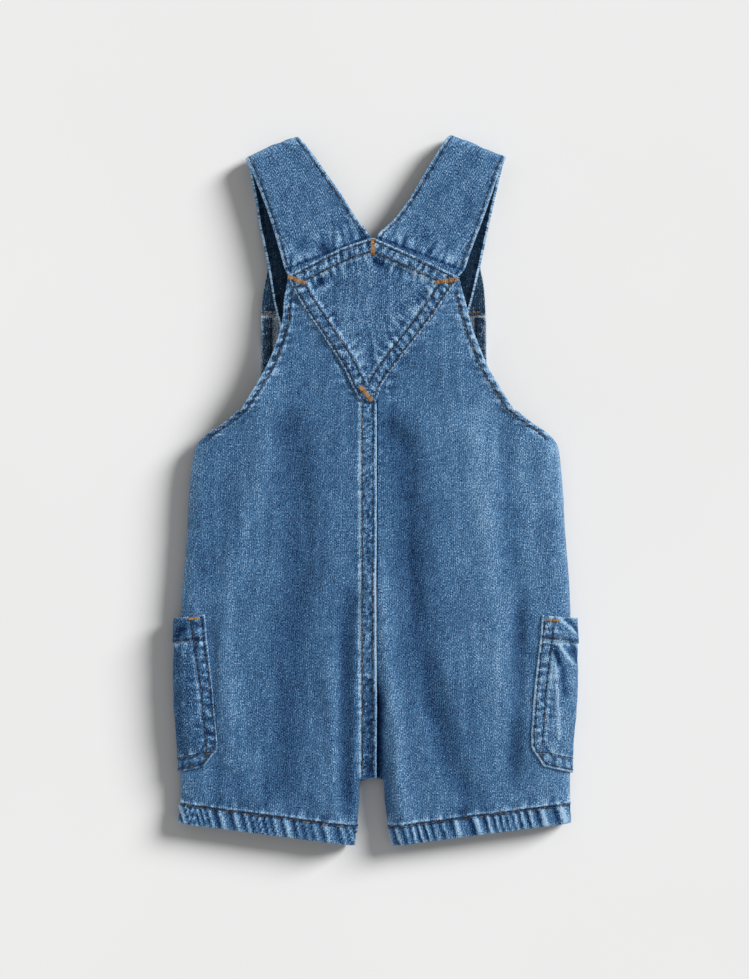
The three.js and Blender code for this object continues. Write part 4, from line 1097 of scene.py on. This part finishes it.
def yoke(seed):
    left_top, top_right = drawn(UPPER_LEFT), drawn(UPPER_RIGHT)
    left_tip, right_tip = drawn(LOWER_LEFT), drawn(LOWER_RIGHT)
    border = [p for p in drawn(LOWER_LEFT, 90) if p.y > 58.6][::-1]
    border += left_top[1:] + top_right[1:] + right_tip[1:]
    count = 104
    places = []
    for i in range(count + 1):
        v = i / count
        row = []
        for j in range(count + 1):
            u = j / count
            along_u = along_edge(top_right, u).lerp(along_edge(left_tip, u), v)
            along_v = along_edge(left_top, 1 - v).lerp(along_edge(right_tip, v), u)
            corners = top_right[0].lerp(top_right[-1], u).lerp(left_top[0].lerp(right_tip[-1], u), v)
            row.append(along_u + along_v - corners)
        places.append(row)
    edges = [[nearest(p, border) for p in row] for row in places]
    solid = []
    for row, ends in zip(places, edges):
        solid.append([])
        for p, (inward, _) in zip(row, ends):
            on = 1 - ease(YOKE_BAND, YOKE_BAND + 3.5, inward)
            solid[-1].append(Vector((p.x, p.y, back_height(p.x, p.y) + lerp(YOKE_SETTLED, 2 * HALF + GAP, on))))
    piece = Cloth("yoke_denim", solid, (0, 0, 1))
    piece.flat = [[(p.x, p.y) for p in row] for row in solid]

    def finisher(i, j, p):
        inward, run = edges[i][j]
        on = 1 - ease(YOKE_BAND, YOKE_BAND + STEP, inward)
        h, w = banded(run, inward, YOKE_BAND, (1.9, 8.0), seed, 1.15, beat=5.2)
        b, c = beside_band(run, inward - YOKE_BAND, seed + 3, 7.5, 1.1)
        crumple = 0.2 * wave(p.x / 7, p.y / 8, seed + 5) + 0.2 * wave(p.x / 3.0, p.y / 24, seed + 6)
        pinch = 0.0
        for lean, way in TIP_FOLDS:
            pinch += way * bump_at(p.x + lean * (p.y - 74), 1.5 + 2.6 * way, 1.3)
        pinch = (pinch * ease(112, 84, p.y) + creased(YOKE_CREASES, p.x, p.y)) * (1 - on)
        rope = max(0.0, math.sin(2 * math.pi * (run / 2.6 + inward / 3))) * bump_at(inward, 0.8, 0.8)
        height = HALF + TURNED * on + h + b + crumple + 0.5 * pinch - 0.2 * rope
        return height, 0.22 + w + 1.2 * c + 1.2 * crumple + 0.8 * pinch - 1.7 * rope, 2 * HALF + TURNED * on

    piece.finish(finisher)
    piece.border = border
    return piece


kite = yoke(401.0)
kite.build(yoke_cloth, wrong_side, "denim_yoke", "yoke")

# %% [markdown]
# A patch pocket wraps each side, half on the back and half on the front. To lay it there, the outline of
# the garment is cut across at a height and measured round from the side seam; a place on the pocket is
# then a distance round and a small way out, so that the pocket stands off at its mouth and touches below.

# %% Pockets
# y at its back edge, y at the side, reach on the back (left, right), reach on the front, how proud
POCKETS = [
    (-78.7, -81.3, 19.1, 22.4, 33, 2.1), (-94.0, -95.5, 20.8, 24.0, 33, 2.5),
    (-95.0, -96.5, 20.9, 24.2, 33, 2.5), (-110.0, -111.5, 23.2, 25.9, 32, 2.6),
    (-126.5, -128.0, 25.3, 27.6, 31, 2.3), (-143.0, -144.5, 26.8, 28.5, 30, 1.6),
    (-155.0, -157.5, 27.8, 28.9, 29, 0.7), (-163.0, -167.0, 28.2, 28.5, 28, 0.1),
    (-169.5, -174.0, 23.6, 24.5, 24, 0), (-175.8, -180.6, 18.9, 20.2, 20, 0),
]
POCKET_HEM = 16.0


def side_outline(side, y):
    """Points round the side of the garment at a height, with their distances round from the seam."""
    column = [(row[0], row[1] if side < 0 else row[2]) for row in BACK[SIDE_FROM:]]
    side_x = by_height(column, 1, y)
    depths = [45 * (k / 60) ** 2 for k in range(61)]
    inward = [(side_x - side * d, d) for d in depths]
    back = [Vector((x, y, back_level(side, SIDE_FROM, x, y, d))) for x, d in inward]
    front = [Vector((x, y, front_level(len(BIB), x, y, d, INSEAM_ROUND))) for x, d in inward]
    points = back[::-1] + front
    run = [0.0]
    for a, b in zip(points, points[1:]):
        run.append(run[-1] + (b - a).length)
    seam = run[len(back) - 1]
    return points, [seam - r for r in run]


def round_side(outline, side, distance, out):
    points, run = outline
    k = 1
    while k < len(run) - 1 and run[k] > distance:
        k += 1
    t = clamp((run[k - 1] - distance) / (run[k - 1] - run[k]))
    along = (points[k] - points[k - 1]).normalized()
    return points[k - 1].lerp(points[k], t) + Vector((along.z, 0, -along.x)) * (-side * out)


# on the right pocket, by distance from the side seam and from the mouth
POCKET_CREASES = [
    (12.2, 1.5, 4.5, 9.6, 1.0, 1.7), (8.5, 1.5, 2.5, 8.0, 1.5, -1.3), (12.2, 19.0, 5.8, 29.0, 1.0, 2.0),
    (15.0, 20.0, 12.5, 30.0, 1.6, -1.7), (5.5, 17.0, 2.5, 27.0, 2.0, -1.8), (14.5, 28.0, 11.5, 78.0, 0.8, 1.4),
    (10.5, 33.0, 9.0, 50.0, 1.3, -1.2),
]


def pocket(name, side, seed):
    column = 2 if side < 0 else 3
    numbers = []
    for k, (a, b) in enumerate(zip(POCKETS, POCKETS[1:])):
        count = max(2, math.ceil((a[0] - b[0]) / 1.25))
        numbers += [k + n / count for n in range(count)]
    numbers.append(len(POCKETS) - 1)
    stops = [1 - k / 30 for k in range(31)] + [-k / 22 for k in range(1, 23)]
    border = [Vector((row[column], row[0])) for row in POCKETS] + [Vector((0, -180.6)), Vector((-20, -180.6))]
    front_border = [Vector((-row[4], row[1])) for row in POCKETS]
    places, spots = [], []
    for s in numbers:
        y_edge, y_side, reach, front, proud = (between(POCKETS, c, s) for c in (0, 1, column, 4, 5))
        row, flat = [], []
        at_side, at_edge = side_outline(side, y_side), side_outline(side, y_edge)
        for t in stops:
            distance = t * (reach if t > 0 else front)
            y = lerp(y_side, y_edge, max(0.0, t))
            shape = ease(reach, 2, distance) * ease(-POCKET_UNDER, 0, distance)
            out = HALF + POCKET_GAP + POCKET / 2 + proud * shape
            p = round_side(at_side, side, distance, out)
            p = p.lerp(round_side(at_edge, side, distance, out), max(0.0, t))
            p.z = max(p.z, POCKET / 2)
            row.append(p)
            flat.append(Vector((distance, y)))
        places.append(row)
        spots.append(flat)
    piece = Cloth(name, places, (side, 0, 0))
    top = POCKETS[0][0] - 2.5
    mouth = [[top - spot.y + 0.13 * max(0.0, spot.x) for spot in row] for row in spots]
    edges = [[min(nearest(spot, border), nearest(spot, front_border)) for spot in row] for row in spots]

    def finisher(i, j, p):
        inward, run = edges[i][j]
        spot, down = spots[i][j], mouth[i][j]
        hem = 1 - ease(POCKET_HEM, POCKET_HEM + STEP, down)
        h, w = banded(run, inward, 8.4, (1.9, 7.6), seed, 1.1, beat=5.8)
        b, c = beside_band(run, inward - 8.4, seed + 3, 5.0, 1.0)
        m, n = banded(spot.x, POCKET_HEM + 1.2 - down, 4.5, (2.6,), seed + 5, 0.7)
        ray, rub = beside_band(spot.x, down - POCKET_HEM - 1, seed + 7, 6.0, 1.0)
        crumple = 0.25 * wave(spot.x / 7, spot.y / 9, seed + 8)
        crumple += 0.2 * wave(spot.x / 3.2, spot.y / 24, seed + 9)
        on_back = ease(-9, -1, spot.x)
        crease = slack = 0.0
        if side > 0:
            crease = creased(POCKET_CREASES, spot.x, down)
        else:
            slack = bump_at(spot.x + 0.5 * down, 11.0, 2.6) * ease(0.5, 3, down) * ease(14.5, 11, down)
        height = (h + b + m + ray + crumple + 0.4 * crease - 0.4 * slack) * lerp(0.15, 1.0, on_back)
        wear = w + c + n + rub + 0.8 * crumple + 1.0 * bump_at(down, 0.2, 0.7)
        # painted light and shade: on the back, the right pocket is made paler and the left darker, as the lamps
        # from the right light them; the side fold is paler from rubbing
        wear += 0.3 * bump_at(spot.x, 0, 3) + (-0.4 if side < 0 else 0.4) * on_back
        # the creases are paler on their ridges and darker in their hollows, partly wash fading and partly painted
        # light and shade; the slack fold is darker, painted shade
        wear += 1.1 * crease - 1.2 * slack
        return POCKET / 2 + TURNED * hem * on_back + height, wear, POCKET + 0.6 * hem * on_back

    piece.finish(finisher)
    piece.inward = [[e[0] for e in row] for row in edges]
    piece.from_edge = [
        [between(POCKETS, column, min(s, 7)) - spot.x for spot in row] for s, row in zip(numbers, spots)
    ]
    piece.up = [[spot.y - lerp(-180.6, -175.8, clamp(spot.x / 19)) for spot in row] for row in spots]
    piece.down = mouth
    return piece


pocket_left = pocket("pocket_left_denim", -1, 501.0)
pocket_left.build(pocket_cloth, wrong_side, "denim_pocket", "pocket_left")
pocket_right = pocket("pocket_right_denim", 1, 551.0)
pocket_right.build(pocket_cloth, wrong_side, "denim_pocket", "pocket_right")

# %% [markdown]
# The tack buttons are on the far side, between the bib and the floor, so they show only from underneath.
# A button is a turned thing: its profile is drawn as a line of points and spun about its own axis.

# %% Button metal
button_metal, start, shader = new_material("button_aged_brass", Metallic=0.9)
place = start.node("ShaderNodeTexCoord", None, None, 3)
tarnish = start.node("ShaderNodeTexNoise", None, {"Vector": place, "Scale": 260.0, "Detail": 4.0})
pits = start.node("ShaderNodeTexNoise", None, {"Vector": place, "Scale": 1900.0, "Detail": 1.0})
stops = [(0.3, (0.13, 0.095, 0.060)), (0.55, (0.33, 0.24, 0.13)), (0.8, (0.46, 0.35, 0.20))]
colour = start.node("ShaderNodeValToRGB", {"stops": stops}, {0: tarnish})
bump = start.node("ShaderNodeBump", None, {"Height": pits, "Strength": 0.3, "Distance": 0.0002})
feed(button_metal, shader, Base_Color=colour, Normal=bump, Roughness=tarnish * 0.3 + 0.25)


# %% Buttons
BUTTON = [
    (0, 0.25), (3.4, 0.25), (4.0, 0.0), (5.9, 0.0), (7.2, 0.30), (7.85, 0.9), (8.0, 1.3), (7.7, 2.1),
    (6.6, 2.6), (2.2, 2.6), (2.2, 8.1), (4.4, 8.1), (4.5, 8.9), (3.3, 9.2), (0, 9.2),
]


def turned_button(node, x, y):
    bm = bmesh.new()
    line = [bm.verts.new((r, 0, z)) for r, z in BUTTON]
    edges = [bm.edges.new(pair) for pair in zip(line, line[1:])]
    turn = dict(axis=(0, 0, 1), cent=(0, 0, 0), steps=48, angle=2 * math.pi, use_merge=True)
    bmesh.ops.spin(bm, geom=line + edges, **turn)
    bmesh.ops.remove_doubles(bm, verts=bm.verts, dist=0.01)
    bmesh.ops.recalc_face_normals(bm, faces=bm.faces)
    bmesh.ops.scale(bm, vec=(MM, MM, MM), verts=bm.verts)
    bmesh.ops.translate(bm, vec=(Vector((x, y, 0)) - SHIFT) * MM, verts=bm.verts)
    for face in bm.faces:
        face.smooth = True
    data = bpy.data.meshes.new(node + "_metal")
    bm.to_mesh(data)
    bm.free()
    made = bpy.data.objects.new(node + "_metal", data)
    bpy.context.scene.collection.objects.link(made)
    rounded = made.modifiers.new("rounded", "BEVEL")
    rounded.width, rounded.segments = 0.2 * MM, 2
    rounded.limit_method, rounded.angle_limit = "ANGLE", math.radians(40)
    data.materials.append(button_metal)
    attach(made, "root")
    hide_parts(node)
    return made


buttons = [turned_button(node, x, y) for node, (x, y) in BUTTON_PLACES.items()]
print("buttons:", [b.name for b in buttons])

# %% [markdown]
# Every stitch is a short sausage of thread, half sunk in the cloth. They are laid one after another along
# lines on the finished pieces: a fixed distance in from an edge, or between two points. A ray dropped
# onto a piece finds its surface there, puckers and all. Hems sewn with a chain stitch get two strands.

# %% Lines to sew along
def smooth_line(points):
    """A line of places and normals with its small jumps taken out."""
    out = []
    for k in range(len(points)):
        near = points[max(0, k - 1): k + 2]
        place, facing = (sum((pair[which] for pair in near), Vector()) for which in (0, 1))
        out.append((place / len(near), facing.normalized()))
    return out


def surface(piece):
    """A tree of a piece's outer surface that rays can be dropped onto."""
    cols = piece.cols
    points = [p for row in piece.outer for p in row]
    quads = [
        (i * cols + j, i * cols + j + 1, (i + 1) * cols + j + 1, (i + 1) * cols + j)
        for i in range(piece.rows - 1) for j in range(cols - 1)
    ]
    return BVHTree.FromPolygons(points, quads)


def dropped(trees, path, way=-1):
    """The highest places on some pieces under a path, or the lowest over it, with normals that face out."""
    made = []
    for p in path:
        hits = [tree.ray_cast(Vector((p[0], p[1], -60 * way)), Vector((0, 0, way)))[:2] for tree in trees]
        hits = [(at, n if n.z * way < 0 else -n) for at, n in hits if at]
        if hits:
            made.append(max(hits, key=lambda hit: -way * hit[0].z))
    return made


def between_points(*points, spacing=0.7):
    """Places along a broken line."""
    made = []
    for a, b in zip(points, points[1:]):
        count = max(1, round(math.dist(a, b) / spacing))
        made += [(lerp(a[0], b[0], k / count), lerp(a[1], b[1], k / count)) for k in range(count)]
    return made + [points[-1]]


# %% Stitches
def sausage(bm, middle, along, up, length, width, tone, layer):
    """One stitch, from a small ball that is stretched and turned to lie along the seam."""
    made = bmesh.ops.create_uvsphere(bm, u_segments=6, v_segments=5, radius=0.5)["verts"]
    across = along.cross(up).normalized()
    up = across.cross(along).normalized()
    turn = Matrix((across * width, up * width * 0.85, along * length)).transposed()
    for v in made:
        v.co = (middle + turn @ v.co - SHIFT) * MM
        v[layer] = tone
    return made


class Sewing:
    """A mesh that stitches are added to."""

    def __init__(self, name, thread_material):
        self.name, self.thread, self.count = name, thread_material, 0
        self.bm = bmesh.new()

    def row(self, line, pitch=2.9, width=0.9, rise=0.12, aside=0.0, first=0.0):
        """Stitches along a line of places and normals."""
        line = smooth_line(line)
        run = [0.0]
        for (a, _), (b, _) in zip(line, line[1:]):
            run.append(run[-1] + (b - a).length)
        k, want, stitches = 0, first + pitch / 2, []
        while want < run[-1] - pitch * 0.4:
            while run[k + 1] < want:
                k += 1
            t = (want - run[k]) / (run[k + 1] - run[k])
            at, up = line[k][0].lerp(line[k + 1][0], t), line[k][1].lerp(line[k + 1][1], t)
            far = min(len(line) - 1, k + 2)
            along = (line[far][0] - line[max(0, k - 1)][0]).normalized()
            tone = 0.5 + 0.5 * wave(want / 3.1, self.count * 0.37, 7.7)
            turned = along.cross(up).normalized()
            lean = 0.10 * wave(want / 2.3, 3.3, self.count * 0.11)
            stitches.append((at + up * rise + turned * (aside + lean), along, up, pitch * 0.93, width, tone))
            want += pitch
        self.add(stitches)

    def add(self, stitches):
        """Makes a few stitches in a mesh of their own, which is quick, and adds it to the whole."""
        bm = bmesh.new()
        layer = bm.verts.layers.float.new("wear")
        for stitch in stitches:
            sausage(bm, *stitch, layer)
        some = bpy.data.meshes.new("some")
        bm.to_mesh(some)
        bm.free()
        self.bm.from_mesh(some)
        bpy.data.meshes.remove(some)
        self.count += len(stitches)

    def chain(self, line, gap=1.25, **options):
        """Two strands side by side, half a stitch apart."""
        self.row(line, aside=gap / 2, **options)
        self.row(line, aside=-gap / 2, first=0.9, **options)

    def bar(self, trees, start, end, width=3.2, spacing=0.46, way=-1):
        """A bartack: threads laid side by side across a short line."""
        along = Vector((end[0] - start[0], end[1] - start[1], 0)).normalized()
        stitches = []
        for k, (p, n) in enumerate(dropped(trees, between_points(start, end, spacing=spacing), way)):
            wide, tone = width * (1 + 0.2 * wave(k * 1.3, 1.0, 9.0)), 0.5 + 0.5 * wave(k * 0.9, 5.1, 2.2)
            stitches.append((p + n * 0.34, n.cross(along).normalized(), n, wide, 0.6, tone))
        self.add(stitches)

    def finish(self):
        for face in self.bm.faces:
            face.smooth = True
        data = bpy.data.meshes.new(self.name)
        self.bm.to_mesh(data)
        self.bm.free()
        made = bpy.data.objects.new(self.name, data)
        bpy.context.scene.collection.objects.link(made)
        data.materials.append(self.thread)
        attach(made, "root")
        print(self.name, self.count, "stitches")
        return made


# %% [markdown]
# The rows follow the real seams: two up the felled back seam, one along each armhole, two round the
# yoke, one round each strap, a chain above each leg's hem, two round each pocket and one at its mouth,
# one at the foot of the bib's turned top and one down each of its sides.

# %% Sewing the panels
seams = Sewing("topstitching", seam_thread)
front_surfaces = [surface(front_left), surface(front_right)]
above = [i for i, s in enumerate(back_left.numbers) if YOKE_TIP + 0.4 < s < CROTCH_FROM]
for inward in (2.2, 9.0):
    seams.row(back_left.line(back_left.from_in, inward, rows=above))


def sew_leg_hem(panel):
    foot = panel.line(panel.up, LEG_HEM - 0.6, cols=range(1, panel.cols - 1))
    seams.chain(foot, gap=1.5, pitch=2.8, width=1.05)


for panel in (back_left, back_right):
    arm = [i for i, s in enumerate(panel.numbers) if 0.8 < s < SIDE_FROM - 0.15]
    seams.chain(panel.line(panel.from_out, 4.4, rows=arm), pitch=2.7, width=0.85)
    sew_leg_hem(panel)
for panel in (front_left, front_right):
    sew_leg_hem(panel)
    side = [i for i, s in enumerate(panel.numbers) if 0.2 < s < len(BIB) - 0.3]
    hem_line = panel.line(panel.from_out, 5.8, rows=side)
    seams.row(hem_line)
    inside_line = [(p - n * (2 * HALF + TURNED), -n) for p, n in hem_line if p.y < FACING_Y - 2]
    seams.row(inside_line)

# %% Sewing the bib, straps and yoke
facing_surface = surface(facing)
foot = between_points((-71.5, 115.2), (71.5, 115.2))
seams.row(dropped(front_surfaces, foot, way=1), pitch=3.2)
for piece in (strap_left, strap_right):
    shown = [i for i, s in enumerate(piece.numbers) if s > 1.02]
    for field in (piece.left, piece.right):
        seams.row(piece.line(field, 2.6, rows=shown))
yoke_surface = surface(kite)
ring = kite.border
for inward in (1.9, 8.0):
    path = []
    for a, b in zip(ring, ring[1:]):
        way = (b - a).normalized()
        at = a.lerp(b, 0.5) + Vector((way.y, -way.x)) * inward
        if nearest(at, ring)[0] > inward - 0.15:
            path.append(at)
    gaps = [k for k in range(1, len(path)) if (path[k] - path[k - 1]).length > 4] + [len(path)]
    for start_at, end_at in zip([0] + gaps, gaps):
        if end_at - start_at > 6:
            seams.row(dropped([yoke_surface], path[start_at:end_at]), pitch=2.6, width=1.25)

# %% Sewing the pockets
for piece in (pocket_left, pocket_right):
    round_it = range(1, piece.cols - 1)
    below = [i for i in range(piece.rows) if piece.down[i][0] > 2]
    seams.row(piece.line(piece.inward, 1.9, rows=below))
    seams.row(piece.line(piece.from_edge, 7.6, rows=[i for i in below if piece.up[i][0] > 1.6]))
    seams.row(piece.line(piece.up, 9.3, cols=range(1, piece.cols - 1)))
    seams.row(piece.line(piece.up, 1.9, cols=range(8, piece.cols - 1)))
    seams.chain(piece.line(piece.down, POCKET_HEM - 1.4, cols=round_it), gap=1.0, width=0.5)
topstitching = seams.finish()

# %% Bartacks
tacks = Sewing("bartacks", bar_thread)
yoke_tacks = [
    ((-1.0, 161.0), (-1.0, 151.0)), ((-54.8, 137.0), (-44.4, 132.9)), ((38.6, 133.2), (52.4, 135.2)),
    ((-9.2, 66.8), (-0.6, 56.8)),
]
for start_at, end_at in yoke_tacks:
    tacks.bar([yoke_surface], start_at, end_at)
tacks.bar([surface(pocket_left)], (-118.4, -81.4), (-112.0, -80.6), width=2.0)
tacks.bar([surface(pocket_right)], (110.4, -81.8), (118.0, -82.4), width=2.0)
tacks.row(dropped([facing_surface], foot), pitch=2.9, width=0.75)
for node, way in (("button_left", 1), ("button_right", -1)):
    x, y = BUTTON_PLACES[node][0] + way * 13.6, BUTTON_PLACES[node][1]
    tacks.bar(front_surfaces, (x, y - 1.8), (x, y + 1.8), width=1.4, spacing=0.5, way=1)
bartacks = tacks.finish()

# %% [markdown]
# Last come the facts of the cloth: the size of the rectangle that each piece was cut from, and its flat
# area, which is measured on the grid and printed. The pieces lie on each other and on the floor.

# %% Cloth as it was cut
def flat_area(piece):
    """The area in square metres of a piece's middle."""
    total = 0.0
    for upper, lower in zip(piece.middle, piece.middle[1:]):
        for a, b, c, d in zip(upper, upper[1:], lower, lower[1:]):
            total += ((b - a).cross(c - a).length + (b - d).cross(c - d).length) / 2
    return total * MM * MM


cuts = [
    (back_left, (0.150, 0.380), ["front_left_denim"]), (back_right, (0.145, 0.380), ["front_right_denim"]),
    (front_left, (0.140, 0.390), ["floor"]), (front_right, (0.140, 0.390), ["floor"]),
    (kite, (0.128, 0.122), ["back_left_denim", "back_right_denim"]),
    (facing, (0.146, 0.039), ["front_left_denim"]),
    (strap_left, (0.060, 0.245), ["back_left_denim"]), (strap_right, (0.060, 0.245), ["back_right_denim"]),
    (pocket_left, (0.070, 0.115), ["back_left_denim"]), (pocket_right, (0.070, 0.115), ["back_right_denim"]),
]
for piece, (width, length), rests_on in cuts:
    area = flat_area(piece)
    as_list(rests_on)
    share = round(area / (width * length), 2)
    print(piece.name, "flat", width, "by", length, "area", round(area, 4), "share", share)
